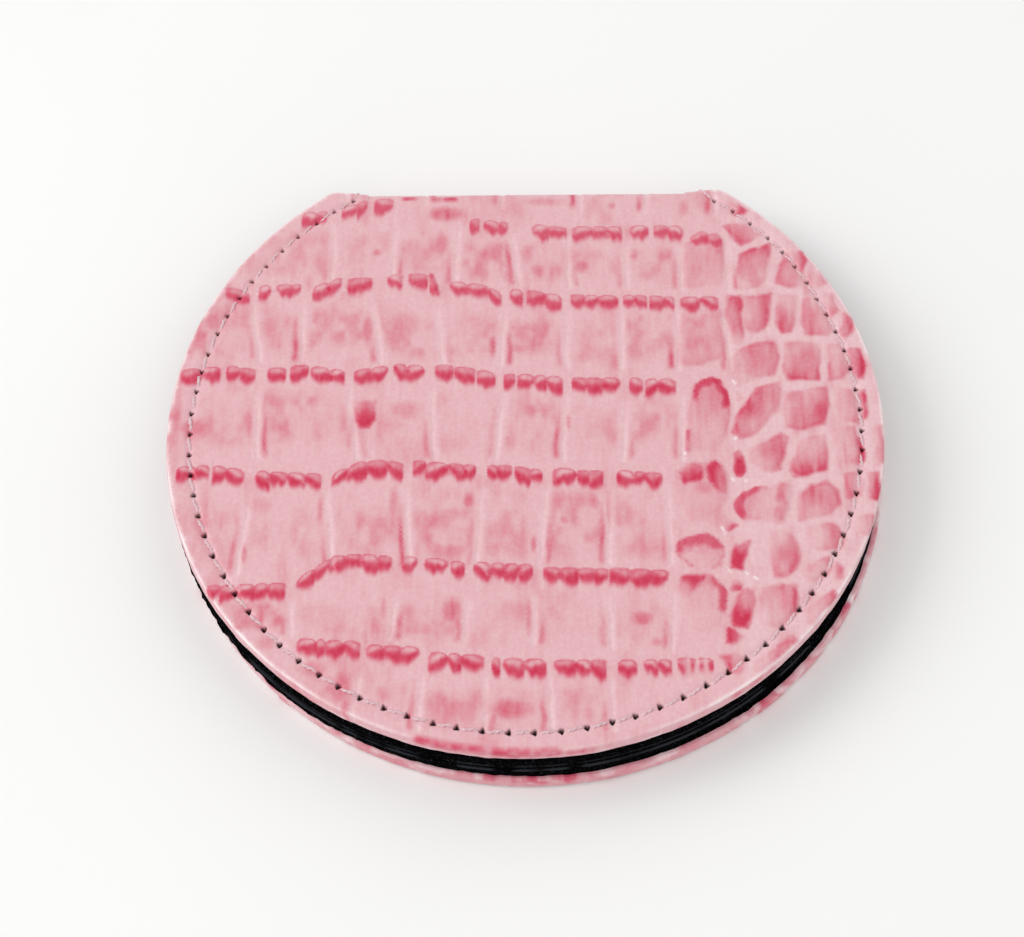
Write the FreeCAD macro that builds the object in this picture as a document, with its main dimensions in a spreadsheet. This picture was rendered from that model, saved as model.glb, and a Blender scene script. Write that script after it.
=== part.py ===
import FreeCAD, Part
import math
import os
import Sketcher

# Compact mirror: two D-shaped leaves, each a board in embossed leather with a sewn-in lining that
# frames a round mirror, folding flat on a leather spine.
# Origin: centre of the round outline, on the underside of the closed case. +Z up, +Y to the spine.

SIZES = {
    # plan of a leaf
    "case_radius": 36.0,          # round edge of the leather
    "fold_cut": 6.51,             # straight side, inside the full circle
    "ear_width": 3.75,            # ear, from its inner side to the sharp corner with the round edge
    "ear_gap": 0.3,               # room between the ears and the spine's ends
    "ear_proud": 0.35,            # how far the ears reach behind the spine
    "ear_round": 1.6,             # corner of an ear
    "back_wall": 1.5,             # leather or lining behind the boards, along the fold
    # layers, from the outside in
    "leather_thick": 0.7,
    "board_thick": 0.7,
    "turn_in_thick": 0.4,         # skived leather turned over the board
    "tape_thick": 0.2,
    "mirror_thick": 1.4,
    "facing_thick": 0.55,         # lining over the frame
    "leaf_gap": 0.15,             # between the two closed linings
    # edges and fits
    "rim_round": 0.9,
    "lining_inset": 0.45,         # lining edge behind the leather edge
    "lining_wall": 0.6,           # lining turned over the frame's edge
    "lining_round": 0.45,
    "fit_gap": 0.1,               # around the boards in their covers
    # mirror
    "frame_back_web": 2.0,        # frame left between the mirror and the fold
    "mirror_gap": 0.15,           # around the glass in the frame
    "mirror_lip": 1.0,            # lining lapping over the glass
    "mirror_bevel": 0.3,
    "tape_margin": 1.5,           # glass beyond its tape
    "turn_in_clear": 1.0,         # turned-in leather kept clear of the glass
    # closure discs
    "disc_diameter": 5.0,
    "disc_thick": 1.0,
    "disc_gap": 0.1,
    "disc_web": 0.8,              # frame left on both sides of a disc
    "disc_angle": 14.0,           # from the front, to each side
    # seam
    "seam_inset": 2.4,            # leather edge to the stitch line
    "seam_end": 1.4,              # ear's inner side to the last needle hole
    "stitch_count": 71,
    "hole_diameter": 0.8,
    "thread_thick": 0.34,
    "thread_round": 0.11,
    "leg_thick": 0.26,            # thread drawn tight in the hole
    "leg_spread": 0.19,           # hole centre to each of the two threads in it
    "lock_gap": 0.1,              # between the outer and inner threads in a hole
    "thread_sink": 0.02,          # thread below the face it is sewn into
    "groove_width": 0.9,
    # spine
    "spine_lining_thick": 0.7,
    "fold_gap": 0.15,             # between a leaf and the rounded edge of the spine
    # cuts
    "overrun": 1.0,
}

DERIVED = {
    "cover_thick": "Sizes.leather_thick + Sizes.board_thick + Sizes.turn_in_thick",
    "frame_thick": "Sizes.tape_thick + Sizes.mirror_thick - Sizes.turn_in_thick",
    "lining_height": "frame_thick + Sizes.facing_thick",
    "leaf_thick": "cover_thick + lining_height",
    "closed_thick": "2 * leaf_thick + Sizes.leaf_gap",
    "board_top": "Sizes.leather_thick + Sizes.board_thick",
    "ear_back": "Sizes.case_radius - Sizes.fold_cut",
    "notch_half": "sqrt(Sizes.case_radius ^ 2 - ear_back ^ 2) - Sizes.ear_width",
    "spine_width": "2 * (notch_half - Sizes.ear_gap)",
    "spine_back": "ear_back - Sizes.ear_proud",
    "fold_y": "spine_back - Sizes.leather_thick",
    "base_fold_z": "Sizes.leather_thick",
    "lid_fold_z": "closed_thick - Sizes.leather_thick",
    "leaf_back": "fold_y - max(Sizes.leather_thick; Sizes.spine_lining_thick) - Sizes.fold_gap",
    "notch_reach": "ear_back - leaf_back + Sizes.overrun",
    "cavity_radius": "Sizes.case_radius - Sizes.leather_thick",
    "cavity_back": "leaf_back - Sizes.back_wall",
    "board_radius": "cavity_radius - Sizes.fit_gap",
    "board_back": "cavity_back - Sizes.fit_gap",
    "lining_radius": "Sizes.case_radius - Sizes.lining_inset",
    "lining_ear_back": "ear_back - Sizes.lining_inset",
    "lining_ear_round": "Sizes.ear_round - Sizes.lining_inset",
    "frame_cavity_radius": "lining_radius - Sizes.lining_wall",
    "frame_radius": "frame_cavity_radius - Sizes.fit_gap",
    "seam_radius": "Sizes.case_radius - Sizes.seam_inset",
    "seam_half": "180 deg - asin((notch_half + Sizes.seam_end) / seam_radius)",
    "seam_sweep": "2 * seam_half",
    "hole_count": "Sizes.stitch_count + 1",
    "groove_depth": "Sizes.thread_thick + 2 * Sizes.thread_sink",
    "groove_outer": "seam_radius + Sizes.groove_width / 2",
    "disc_pocket": "Sizes.disc_diameter + 2 * Sizes.disc_gap",
    "disc_ring": "seam_radius - Sizes.disc_web - Sizes.disc_diameter / 2",
    "mirror_front": "disc_ring - Sizes.disc_diameter / 2 - Sizes.disc_web",
    "mirror_back": "board_back - Sizes.frame_back_web",
    "mirror_radius": "(mirror_front + mirror_back) / 2",
    "mirror_forward": "(mirror_front - mirror_back) / 2",
    "mirror_bottom": "board_top + Sizes.tape_thick",
    "tape_radius": "mirror_radius - Sizes.tape_margin",
    "opening_radius": "mirror_radius + Sizes.turn_in_clear",
    "frame_window_radius": "mirror_radius + Sizes.mirror_gap",
    "window_radius": "mirror_radius - Sizes.mirror_lip",
}

NEAR = FreeCAD.Base.Precision.confusion()
UP = FreeCAD.Vector(0, 0, 1)
ORIGIN_POINT = (-1, 1)
HORIZONTAL_AXIS = -1
VERTICAL_AXIS = -2
OUTER_FACE = "outer"
INNER_FACE = "inner"

doc = FreeCAD.newDocument("compact_mirror")
sizes = doc.addObject("Spreadsheet::Sheet", "Sizes")
derived = doc.addObject("Spreadsheet::Sheet", "Derived")
for row, (alias, number) in enumerate(SIZES.items(), start=1):
    sizes.set(f"A{row}", alias)
    sizes.set(f"B{row}", str(number))
    sizes.setAlias(f"B{row}", alias)
doc.recompute()
for row, (alias, formula) in enumerate(DERIVED.items(), start=1):
    derived.set(f"A{row}", alias)
    derived.set(f"B{row}", "=" + formula)
    derived.setAlias(f"B{row}", alias)
    doc.recompute()


def value(alias):
    """The number a name stands for, in millimetres or degrees."""
    found = (sizes if alias in SIZES else derived).get(alias)
    return float(getattr(found, "Value", found))


def bind(item, prop, alias):
    """Ties a property of an object to a named size."""
    item.setExpression(prop, ("Sizes." if alias in SIZES else "Derived.") + alias)


def origin_feature(body, role):
    return next(item for item in body.Origin.OriginFeatures if item.Role == role)


def new_sketch(body, name, role="XY_Plane", lift=None):
    """An empty sketch on one of the body's own planes, raised to a named height."""
    sketch = body.newObject("Sketcher::SketchObject", f"{body.Label}_{name}")
    sketch.AttachmentSupport = [(origin_feature(body, role), "")]
    sketch.MapMode = "FlatFace"
    if lift:
        bind(sketch, "AttachmentOffset.Base.z", lift)
    return sketch


def dimension(sketch, kind, places, alias):
    """A dimension of a sketch, tied to a named size."""
    index = sketch.addConstraint(Sketcher.Constraint(kind, *places, value(alias)))
    bind(sketch, f"Constraints[{index}]", alias)


def relate(sketch, kind, *places):
    sketch.addConstraint(Sketcher.Constraint(kind, *places))


def line(sketch, start, end):
    return sketch.addGeometry(Part.LineSegment(FreeCAD.Vector(*start, 0), FreeCAD.Vector(*end, 0)))


def arc(sketch, centre, radius, start, end):
    circle = Part.Circle(FreeCAD.Vector(*centre, 0), UP, radius)
    return sketch.addGeometry(Part.ArcOfCircle(circle, math.radians(start), math.radians(end)))


def d_sketch(body, name, radius, chord, lift=None):
    """A circle about the origin, cut off straight on the fold side."""
    sketch = new_sketch(body, name, lift=lift)
    round_size, back = value(radius), value(chord)
    half = math.sqrt(round_size ** 2 - back ** 2)
    corner = math.degrees(math.asin(back / round_size))
    edge = arc(sketch, (0, 0), round_size, 180 - corner, 360 + corner)
    fold = line(sketch, (half, back), (-half, back))
    relate(sketch, "Coincident", edge, 3, *ORIGIN_POINT)
    relate(sketch, "Coincident", edge, 2, fold, 1)
    relate(sketch, "Coincident", fold, 2, edge, 1)
    relate(sketch, "Horizontal", fold)
    dimension(sketch, "Radius", (edge,), radius)
    dimension(sketch, "DistanceY", (*ORIGIN_POINT, fold, 1), chord)
    return sketch


def circle_sketch(body, name, radius, forward, lift=None, kind="Radius"):
    """A circle on the middle line, a named way in front of the origin."""
    sketch = new_sketch(body, name, lift=lift)
    across = value(radius) if kind == "Radius" else value(radius) / 2
    ring = sketch.addGeometry(Part.Circle(FreeCAD.Vector(0, -value(forward), 0), UP, across))
    relate(sketch, "PointOnObject", ring, 3, VERTICAL_AXIS)
    dimension(sketch, "DistanceY", (ring, 3, *ORIGIN_POINT), forward)
    dimension(sketch, kind, (ring,), radius)
    return sketch


def rectangle(sketch, low, high):
    """Four sides between two corners: front or bottom first, then round by the right-hand side."""
    corners = [low, (high[0], low[1]), high, (low[0], high[1])]
    sides = [line(sketch, corners[i], corners[(i + 1) % 4]) for i in range(4)]
    for i in range(4):
        relate(sketch, "Coincident", sides[i], 2, sides[(i + 1) % 4], 1)
        relate(sketch, ("Horizontal", "Vertical")[i % 2], sides[i])
    return sides


def notch_sketch(body, lift=None):
    """The rectangle that the spine stands in, open behind the ears."""
    sketch = new_sketch(body, "notch", lift=lift)
    half, front = value("notch_half"), value("leaf_back")
    sides = rectangle(sketch, (-half, front), (half, front + value("notch_reach")))
    dimension(sketch, "DistanceX", (sides[0], 1, *ORIGIN_POINT), "notch_half")
    dimension(sketch, "DistanceX", (*ORIGIN_POINT, sides[0], 2), "notch_half")
    dimension(sketch, "DistanceY", (*ORIGIN_POINT, sides[0], 1), "leaf_back")
    dimension(sketch, "DistanceY", (sides[1], 1, sides[1], 2), "notch_reach")
    return sketch


def pad(body, sketch, length, both_ways=False):
    feature = body.newObject("PartDesign::Pad", sketch.Name + "_pad")
    feature.Profile = sketch
    feature.Midplane = both_ways
    bind(feature, "Length", length)
    doc.recompute()
    return feature


def check_cut(body, before, name):
    doc.recompute()
    if body.Tip.Shape.Volume >= before:
        raise RuntimeError(f"{name} cuts nothing")


def new_pocket(body, sketch, depth=None, upward=False):
    """A cut to a named depth below or above its sketch, or right through the body."""
    feature = body.newObject("PartDesign::Pocket", sketch.Name + "_cut")
    feature.Profile = sketch
    feature.Reversed = upward
    if depth:
        bind(feature, "Length", depth)
    else:
        feature.Type = "ThroughAll"
    return feature


def pocket(body, sketch, depth=None, upward=False):
    """A cut that has to take something away."""
    before = body.Tip.Shape.Volume
    feature = new_pocket(body, sketch, depth, upward)
    check_cut(body, before, feature.Name)


def dress(body, kind, name, size, wanted):
    """Rounds or bevels the edges of the body that the test picks, given their middle points."""
    tip = body.Tip
    middles = [edge.valueAt((edge.FirstParameter + edge.LastParameter) / 2) for edge in tip.Shape.Edges]
    chosen = [f"Edge{i}" for i, middle in enumerate(middles, start=1) if wanted(middle)]
    feature = body.newObject(f"PartDesign::{kind}", f"{body.Label}_{name}")
    feature.Base = (tip, chosen)
    bind(feature, "Radius" if kind == "Fillet" else "Size", size)
    doc.recompute()


def at_height(point, height):
    return abs(point.z - height) < NEAR


def round_leaf_edges(body, back, ear_round, rim_height, rim_round):
    """Rounds both ears' corners, then the rim at one height, except along the fold."""
    def on_corner(point):
        level = at_height(point, value("cover_thick")) or at_height(point, rim_height)
        return not level and abs(point.y - value(back)) < NEAR and abs(point.x) > value("notch_half") + NEAR

    def on_rim(point):
        beside_fold = abs(point.x) < value("notch_half") + NEAR and point.y > 0
        return at_height(point, rim_height) and not beside_fold

    dress(body, "Fillet", "ear_corners", ear_round, on_corner)
    dress(body, "Fillet", "rim", rim_round, on_rim)


def seam_groove(body, face):
    """The line that the seam is drawn into, from ear to ear round the front."""
    sketch = new_sketch(body, "seam_groove", role="YZ_Plane")
    outer, width, depth = value("groove_outer"), value("groove_width"), value("groove_depth")
    low = 0 if face == OUTER_FACE else value("leaf_thick") - depth
    sides = rectangle(sketch, (-outer, low), (width - outer, low + depth))
    dimension(sketch, "DistanceX", (sides[0], 1, *ORIGIN_POINT), "groove_outer")
    dimension(sketch, "DistanceX", (sides[0], 1, sides[0], 2), "groove_width")
    dimension(sketch, "DistanceY", (sides[1], 1, sides[1], 2), "groove_depth")
    if face == OUTER_FACE:
        relate(sketch, "PointOnObject", sides[0], 1, HORIZONTAL_AXIS)
    else:
        dimension(sketch, "DistanceY", (*ORIGIN_POINT, sides[2], 1), "leaf_thick")
    before = body.Tip.Shape.Volume
    feature = body.newObject("PartDesign::Groove", sketch.Name + "_cut")
    feature.Profile = sketch
    feature.ReferenceAxis = (sketch, ["V_Axis"])
    feature.Midplane = True
    bind(feature, "Angle", "seam_sweep")
    check_cut(body, before, feature.Name)


def needle_holes(body):
    """The row of needle holes, from ear to ear round the front."""
    sketch = circle_sketch(body, "needle_hole", "hole_diameter", "seam_radius", kind="Diameter")
    sketch.setExpression("AttachmentOffset.Rotation.Angle", "-Derived.seam_half")
    before = body.Tip.Shape.Volume
    first = new_pocket(body, sketch, upward=True)
    doc.recompute()
    row_of_holes = body.newObject("PartDesign::PolarPattern", f"{body.Label}_needle_holes")
    row_of_holes.Originals = [first]
    row_of_holes.Axis = (origin_feature(body, "Z_Axis"), [""])
    bind(row_of_holes, "Angle", "seam_sweep")
    bind(row_of_holes, "Occurrences", "hole_count")
    body.Tip = row_of_holes
    check_cut(body, before, row_of_holes.Name)


def new_body(label):
    body = doc.addObject("PartDesign::Body", label)
    body.Label = label
    return body


def leather(label):
    """Embossed leather drawn over the board and turned in on its inner side."""
    body = new_body(label)
    pad(body, d_sketch(body, "outline", "case_radius", "ear_back"), "cover_thick")
    pocket(body, notch_sketch(body), upward=True)
    round_leaf_edges(body, "ear_back", "ear_round", 0, "rim_round")
    pocket(body, circle_sketch(body, "opening", "opening_radius", "mirror_forward", lift="cover_thick"),
           "turn_in_thick")
    pocket(body, d_sketch(body, "board_space", "cavity_radius", "cavity_back", lift="leather_thick"),
           "board_thick", upward=True)
    seam_groove(body, OUTER_FACE)
    needle_holes(body)
    return body


def board(label):
    """Stiff board inside the leather."""
    body = new_body(label)
    pad(body, d_sketch(body, "outline", "board_radius", "board_back", lift="leather_thick"), "board_thick")
    needle_holes(body)
    return body


def mirror_tape(label):
    body = new_body(label)
    pad(body, circle_sketch(body, "outline", "tape_radius", "mirror_forward", lift="board_top"),
        "tape_thick")
    return body


def mirror(label):
    """Round glass with ground edges, silvered on the side of the tape."""
    body = new_body(label)
    pad(body, circle_sketch(body, "outline", "mirror_radius", "mirror_forward", lift="mirror_bottom"),
        "mirror_thick")
    dress(body, "Chamfer", "ground_edges", "mirror_bevel",
          lambda point: at_height(point, value("mirror_bottom"))
          or at_height(point, value("mirror_bottom") + value("mirror_thick")))
    return body


def frame(label):
    """Board that brings the lining level with the glass, with the closure discs in its front."""
    body = new_body(label)
    pad(body, d_sketch(body, "outline", "frame_radius", "board_back", lift="cover_thick"), "frame_thick")
    pocket(body, circle_sketch(body, "window", "frame_window_radius", "mirror_forward", lift="cover_thick"),
           upward=True)
    for side, sign in (("left", "-"), ("right", "")):
        sketch = circle_sketch(body, f"{side}_disc", "disc_pocket", "disc_ring", lift="cover_thick",
                               kind="Diameter")
        sketch.setExpression("AttachmentOffset.Rotation.Angle", sign + "Sizes.disc_angle")
        pocket(body, sketch, upward=True)
    needle_holes(body)
    return body


def lining(label):
    """Leatherette over the frame, turned down round its edge and lapping over the glass."""
    body = new_body(label)
    pad(body, d_sketch(body, "outline", "lining_radius", "lining_ear_back", lift="cover_thick"),
        "lining_height")
    pocket(body, notch_sketch(body, lift="cover_thick"), upward=True)
    round_leaf_edges(body, "lining_ear_back", "lining_ear_round", value("leaf_thick"), "lining_round")
    pocket(body, circle_sketch(body, "window", "window_radius", "mirror_forward", lift="cover_thick"),
           upward=True)
    pocket(body, d_sketch(body, "frame_space", "frame_cavity_radius", "cavity_back", lift="cover_thick"),
           "frame_thick", upward=True)
    seam_groove(body, INNER_FACE)
    needle_holes(body)
    return body


def closure_discs(label):
    """A pair of flat discs at the front, let into the frame."""
    pair = doc.addObject("Part::Compound", label)
    pair.Label = label
    discs = []
    for side, sign in (("left", "-"), ("right", "")):
        disc = doc.addObject("Part::Cylinder", f"{label}_{side}")
        disc.setExpression("Radius", "Sizes.disc_diameter / 2")
        bind(disc, "Height", "disc_thick")
        disc.setExpression("Placement.Base.x", f"{sign}Derived.disc_ring * sin(Sizes.disc_angle)")
        disc.setExpression("Placement.Base.y", "-Derived.disc_ring * cos(Sizes.disc_angle)")
        bind(disc, "Placement.Base.z", "cover_thick")
        discs.append(disc)
    pair.Links = discs
    return pair


def stitches(label, face):
    """One side of the seam: a bar of thread between each two holes, with a leg into both of them."""
    outer = face == OUTER_FACE
    surface, inward = (0, 1) if outer else (value("leaf_thick"), -1)
    reach = value("cover_thick" if outer else "lining_height") - value("lock_gap") / 2
    step = value("seam_sweep") / value("stitch_count")
    half_step = math.radians(step / 2)
    front = -value("seam_radius") * math.cos(half_step)
    thick, leg, top = value("thread_thick"), value("leg_thick"), value("thread_sink")
    end = value("seam_radius") * math.sin(half_step) - value("leg_spread") + leg / 2
    profile = [(-end, top), (end, top), (end, reach), (end - leg, reach), (end - leg, top + thick),
               (leg - end, top + thick), (leg - end, reach), (-end, reach), (-end, top)]
    points = [FreeCAD.Vector(x, front - thick / 2, surface + inward * depth) for x, depth in profile]
    stitch = Part.Face(Part.makePolygon(points)).extrude(FreeCAD.Vector(0, thick, 0))
    showing_edges = [edge for edge in stitch.Edges
                     if at_height(edge.CenterOfMass, surface + inward * top)
                     and abs(edge.CenterOfMass.x) < NEAR]
    stitch = stitch.makeFillet(value("thread_round"), showing_edges)
    row_of_stitches = []
    for i in range(round(value("stitch_count"))):
        copy = stitch.copy()
        copy.rotate(FreeCAD.Vector(), UP, step * (i + 0.5) - value("seam_half"))
        row_of_stitches.append(copy)
    item = doc.addObject("Part::Feature", label)
    item.Label = label
    item.Shape = Part.makeCompound(row_of_stitches)
    return item


def spine_ply(label, thick, outward):
    """One layer of the spine, with its two edges rounded about the fold lines."""
    body = new_body(label)
    sketch = new_sketch(body, "section", role="YZ_Plane")
    fold, depth = value("fold_y"), value(thick)
    low, high = value("base_fold_z"), value("lid_fold_z")
    side = depth if outward else -depth
    top = arc(sketch, (fold, high), depth, *((0, 90) if outward else (90, 180)))
    bottom = arc(sketch, (fold, low), depth, *((270, 360) if outward else (180, 270)))
    joined = line(sketch, (fold, high + depth), (fold, low - depth))
    open_face = line(sketch, (fold + side, low), (fold + side, high))
    on_face, on_joined = (1, 2) if outward else (2, 1)
    relate(sketch, "Tangent", bottom, on_joined, open_face, 1)
    relate(sketch, "Tangent", open_face, 2, top, on_face)
    relate(sketch, "Coincident", top, on_joined, joined, 1)
    relate(sketch, "Coincident", joined, 2, bottom, on_face)
    relate(sketch, "Vertical", joined)
    relate(sketch, "Vertical", open_face)
    relate(sketch, "PointOnObject", top, 3, joined)
    relate(sketch, "PointOnObject", bottom, 3, joined)
    dimension(sketch, "Radius", (top,), thick)
    dimension(sketch, "DistanceX", (*ORIGIN_POINT, joined, 1), "fold_y")
    dimension(sketch, "DistanceY", (*ORIGIN_POINT, bottom, 3), "base_fold_z")
    dimension(sketch, "DistanceY", (*ORIGIN_POINT, top, 3), "lid_fold_z")
    pad(body, sketch, "spine_width", both_ways=True)
    return body


def leaf(name, disc_name):
    """All the pieces of one leaf, lying with its leather face down on the ground."""
    return [
        leather(f"{name}_leather"),
        board(f"{name}_board"),
        mirror_tape(f"{name}_mirror_tape"),
        mirror(f"{name}_mirror"),
        frame(f"{name}_frame"),
        lining(f"{name}_lining"),
        closure_discs(f"{name}_{disc_name}"),
        stitches(f"{name}_stitches", OUTER_FACE),
        stitches(f"{name}_bobbin_stitches", INNER_FACE),
    ]


def turn_over(item):
    """Lays a piece of the lid upside down on the base."""
    item.Placement = FreeCAD.Placement(FreeCAD.Vector(), FreeCAD.Rotation(FreeCAD.Vector(0, 1, 0), 180))
    bind(item, "Placement.Base.z", "closed_thick")


base_pieces = leaf("base", "keepers")
lid_pieces = leaf("lid", "magnets")
for piece in lid_pieces:
    turn_over(piece)
spine_pieces = [
    spine_ply("spine_leather", "leather_thick", outward=True),
    spine_ply("spine_lining", "spine_lining_thick", outward=False),
]
pieces = base_pieces + spine_pieces + lid_pieces

doc.recompute()
for item in doc.Objects:
    if "Invalid" in item.State or "Error" in item.State:
        raise RuntimeError(f"{item.Name} failed: {item.State}")
for piece in pieces:
    if piece.Shape.isNull() or not piece.Shape.isValid():
        raise RuntimeError(f"{piece.Label} has no valid shape")

os.makedirs("parts", exist_ok=True)
for piece in pieces:
    piece.Shape.exportStep(f"parts/{piece.Label}.step")
    box = piece.Shape.BoundBox
    print(f"{piece.Label}: {len(piece.Shape.Solids)} solids, {piece.Shape.Volume:.2f} mm3,",
          f"z {box.ZMin:.3f} to {box.ZMax:.3f}, y {box.YMin:.3f} to {box.YMax:.3f}")
print("fold lines: y", round(value("fold_y"), 4), "z", value("base_fold_z"), "and", value("lid_fold_z"))
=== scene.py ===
import math

import bmesh
import bpy
import numpy as np
from mathutils import Matrix, Vector, geometry


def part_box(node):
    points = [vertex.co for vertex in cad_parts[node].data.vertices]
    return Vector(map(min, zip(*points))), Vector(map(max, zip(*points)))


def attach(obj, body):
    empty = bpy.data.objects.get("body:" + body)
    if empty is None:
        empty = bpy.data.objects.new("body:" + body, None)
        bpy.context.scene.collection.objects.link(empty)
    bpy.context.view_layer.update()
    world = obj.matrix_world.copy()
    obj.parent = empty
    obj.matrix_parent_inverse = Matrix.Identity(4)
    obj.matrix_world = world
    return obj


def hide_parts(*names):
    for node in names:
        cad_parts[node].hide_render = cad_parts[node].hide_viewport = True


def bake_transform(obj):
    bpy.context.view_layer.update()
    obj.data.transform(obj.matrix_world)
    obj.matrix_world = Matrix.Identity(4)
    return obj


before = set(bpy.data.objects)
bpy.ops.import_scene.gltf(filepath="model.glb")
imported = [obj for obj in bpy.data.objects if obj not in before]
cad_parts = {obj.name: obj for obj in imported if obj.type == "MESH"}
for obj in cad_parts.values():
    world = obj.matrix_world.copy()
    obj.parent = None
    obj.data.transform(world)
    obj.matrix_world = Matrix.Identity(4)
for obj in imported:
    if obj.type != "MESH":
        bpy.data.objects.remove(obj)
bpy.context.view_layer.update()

# Lengths in this script are millimetres; meshes are scaled to metres when they are made.
MM = 0.001
# Beyond every distance in the part, and a stand-in for zero in divisions and logarithms
FAR = 1e3
TINY = 1e-12


def box_mm(node):
    """Lowest and highest corner of a CAD node in millimetres."""
    low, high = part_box(node)
    return np.array(low) / MM, np.array(high) / MM


# Sizes taken from the CAD frame
LEATHER_LOW, LEATHER_HIGH = box_mm("lid_leather")
LINING_LOW, LINING_HIGH = box_mm("lid_lining")
BASE_LINING_TOP = box_mm("base_lining")[1][2]
SPINE_HIGH = box_mm("spine_leather")[1]
SPINE_LINING_LOW = box_mm("spine_lining")[0]
GLASS_LOW, GLASS_HIGH = box_mm("lid_mirror")
RADIUS = LEATHER_HIGH[0]
EAR_BACK = LEATHER_HIGH[1]
HEIGHT = LEATHER_HIGH[2]
COVER = HEIGHT - LEATHER_LOW[2]
LINING_RADIUS = LINING_HIGH[0]
LINING_EAR_BACK = LINING_HIGH[1]
LINING_DEPTH = LINING_HIGH[2] - LINING_LOW[2]
SPINE_HALF = SPINE_HIGH[0]
SPINE_BACK = SPINE_HIGH[1]
GLASS_RADIUS = GLASS_HIGH[0]
GLASS_FORWARD = -(GLASS_LOW[1] + GLASS_HIGH[1]) / 2

# Leather covers
RIM_ROUND = 0.38
EAR_ROUND = 1.6
EAR_INNER_ROUND = 0.3
NOTCH_ROUND = 0.05
NOTCH_HALF = SPINE_HALF + 0.16
STRIP_HALF = NOTCH_HALF - 0.005
STRIP_THICK = 0.6
STRIP_FILL = 0.3
EAR_SOFT = 0.65
BEND_ROUND = 1.2
FOLD_START = SPINE_BACK - BEND_ROUND
STRIP_RUN = BEND_ROUND * math.pi / 2 + HEIGHT / 2 - BEND_ROUND
EDGE_STEP = 0.25
PLAIN_STEP = 0.3
BEAD_STEP = 0.18
FLANK_STEP = 0.2
COVER_INSETS = (0.02, 0.07, 0.15, 0.28)

# Relief of the emboss: how far its forms rise or sink, and where rises are cut off
BEAD_RISE = 0.095
BEAD_NICK = 0.05
STROKE_RISE = 0.07
CROWN_RISE = 0.03
CELL_RISE = 0.09
CUT_SINK = 0.04
FOLD_SINK = 0.1
FOLD_LIP = 0.02
SWELL = 0.02
PEBBLE = 0.012
RELIEF_TOP = 0.14
SIDE_RELIEF_TOP = 0.08

# Layout of the hide: left end, start of the flank, both places at which fold bands are given, how
# sharp a cell's corners are, and how far round a cell the pattern is worked out
HIDE_LEFT = -38.0
FLANK_START = 20.3
BAND_LEFT, BAND_RIGHT = -30.0, 20.0
CORNER_SHARP = 5.0
CELL_REACH = 0.6
BEAD_WIDE = 1.6

# Scales and cells made up for the spine and the base, in the manner of the lid's
ROWS_LEFT, ROWS_RIGHT = -35.0, 20.4
ROWS_FIRST, ROWS_LAST = 36.5, 112.0
ROW_PITCH = (10.7, 11.5)
SCALE_WIDE = (5.6, 7.6)
SCALE_GAP = 1.0
CELLS_LEFT, CELLS_RIGHT = 21.6, 40.0
CELLS_FIRST, CELLS_LAST = 29.5, 104.0
CELL_WIDE, CELL_TALL = 3.9, 4.9
CELL_SHARE = 0.78

# Seams; angles are counted from the front
SEAM_RADIUS = RADIUS - 2.4
SEAM_HALF = math.radians(147)
STITCHES = 71
HOLE_RADIUS = 0.32
HOLE_DEPTH = 0.66
HOLE_PULL = 0.62
HOLE_RINGS = ((0.12, 6), (0.22, 8), (0.32, 10), (0.42, 12), (0.53, 14))
GROOVE_DEPTH = 0.22
GROOVE_HALF = 0.33

# On the right ear the seam runs nearer the rim and ends sooner; the thread's tails go over the ears
SEAM_DRIFT = 0.65
DRIFT_START, DRIFT_FULL = math.radians(112), math.radians(136)
RIGHT_SHORT = math.radians(2.4)
RIGHT_BACK = math.radians(95)
TAIL_LEFT, TAIL_RIGHT = -17.8, 18.3

# Thread of two plies
PLY_RADIUS = 0.135
PLY_TWIST = 0.065
PLY_PITCH = 1.15
PLY_SIDES = 6
OUTER_SUNK = RELIEF_TOP + 0.17
BOBBIN_SUNK = 0.2
BOBBIN_SHARE = 0.7
STITCH_POINTS = 15
STITCH_SLANT = 0.1
STITCH_DIP = 1.1
DIP_SHARE = 0.15

# Linings
LINING_BACK = SPINE_LINING_LOW[1] - 0.15
LINING_ROUND = 0.45
LINING_PLUMP = 0.25
LINING_STEP = 0.5
LINING_EDGE_STEP = 0.3
LINING_EAR_ROUND = EAR_ROUND - 0.45
LINING_INSETS = (*COVER_INSETS, 0.42)
WINDOW_RADIUS = GLASS_RADIUS - 1.0
WINDOW_EDGE = WINDOW_RADIUS + 0.12
WINDOW_STEP = 0.5
FACING = 0.55
SPINE_LINING_THICK = 0.34
SPINE_LINING_ROUND = 0.12
SPINE_LINING_MARGIN = 0.65


def ramp(low, high, values):
    """Smooth step from 0 at low to 1 at high."""
    t = np.clip((values - low) / (high - low), 0, 1)
    return t * t * (3 - 2 * t)


def within(low, low_full, high_full, high, values):
    """Smooth step up from low to low_full, and down again from high_full to high."""
    return ramp(low, low_full, values) * (1 - ramp(high_full, high, values))


def bell(values, half):
    """A soft bump: 1 at 0, falling away over about the half width."""
    return np.exp(-(values / half) ** 2)


def lattice(ix, iy, seed):
    """A repeatable number from 0 to 1 for each whole-number point."""
    n = (ix * 374761393 + iy * 668265263 + seed * 974634777) & 0xFFFFFFFF
    n = ((n ^ (n >> 13)) * 1274126177) & 0xFFFFFFFF
    return ((n ^ (n >> 16)) & 0xFFFF) / 65535.0


def noise(x, y, seed):
    """Smooth random field from 0 to 1 with cells one unit wide."""
    ix = np.floor(x).astype(np.int64)
    iy = np.floor(y).astype(np.int64)
    u = ramp(0, 1, x - ix)
    w = ramp(0, 1, y - iy)
    near = lattice(ix, iy, seed) * (1 - u) + lattice(ix + 1, iy, seed) * u
    far = lattice(ix, iy + 1, seed) * (1 - u) + lattice(ix + 1, iy + 1, seed) * u
    return near * (1 - w) + far * w


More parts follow.
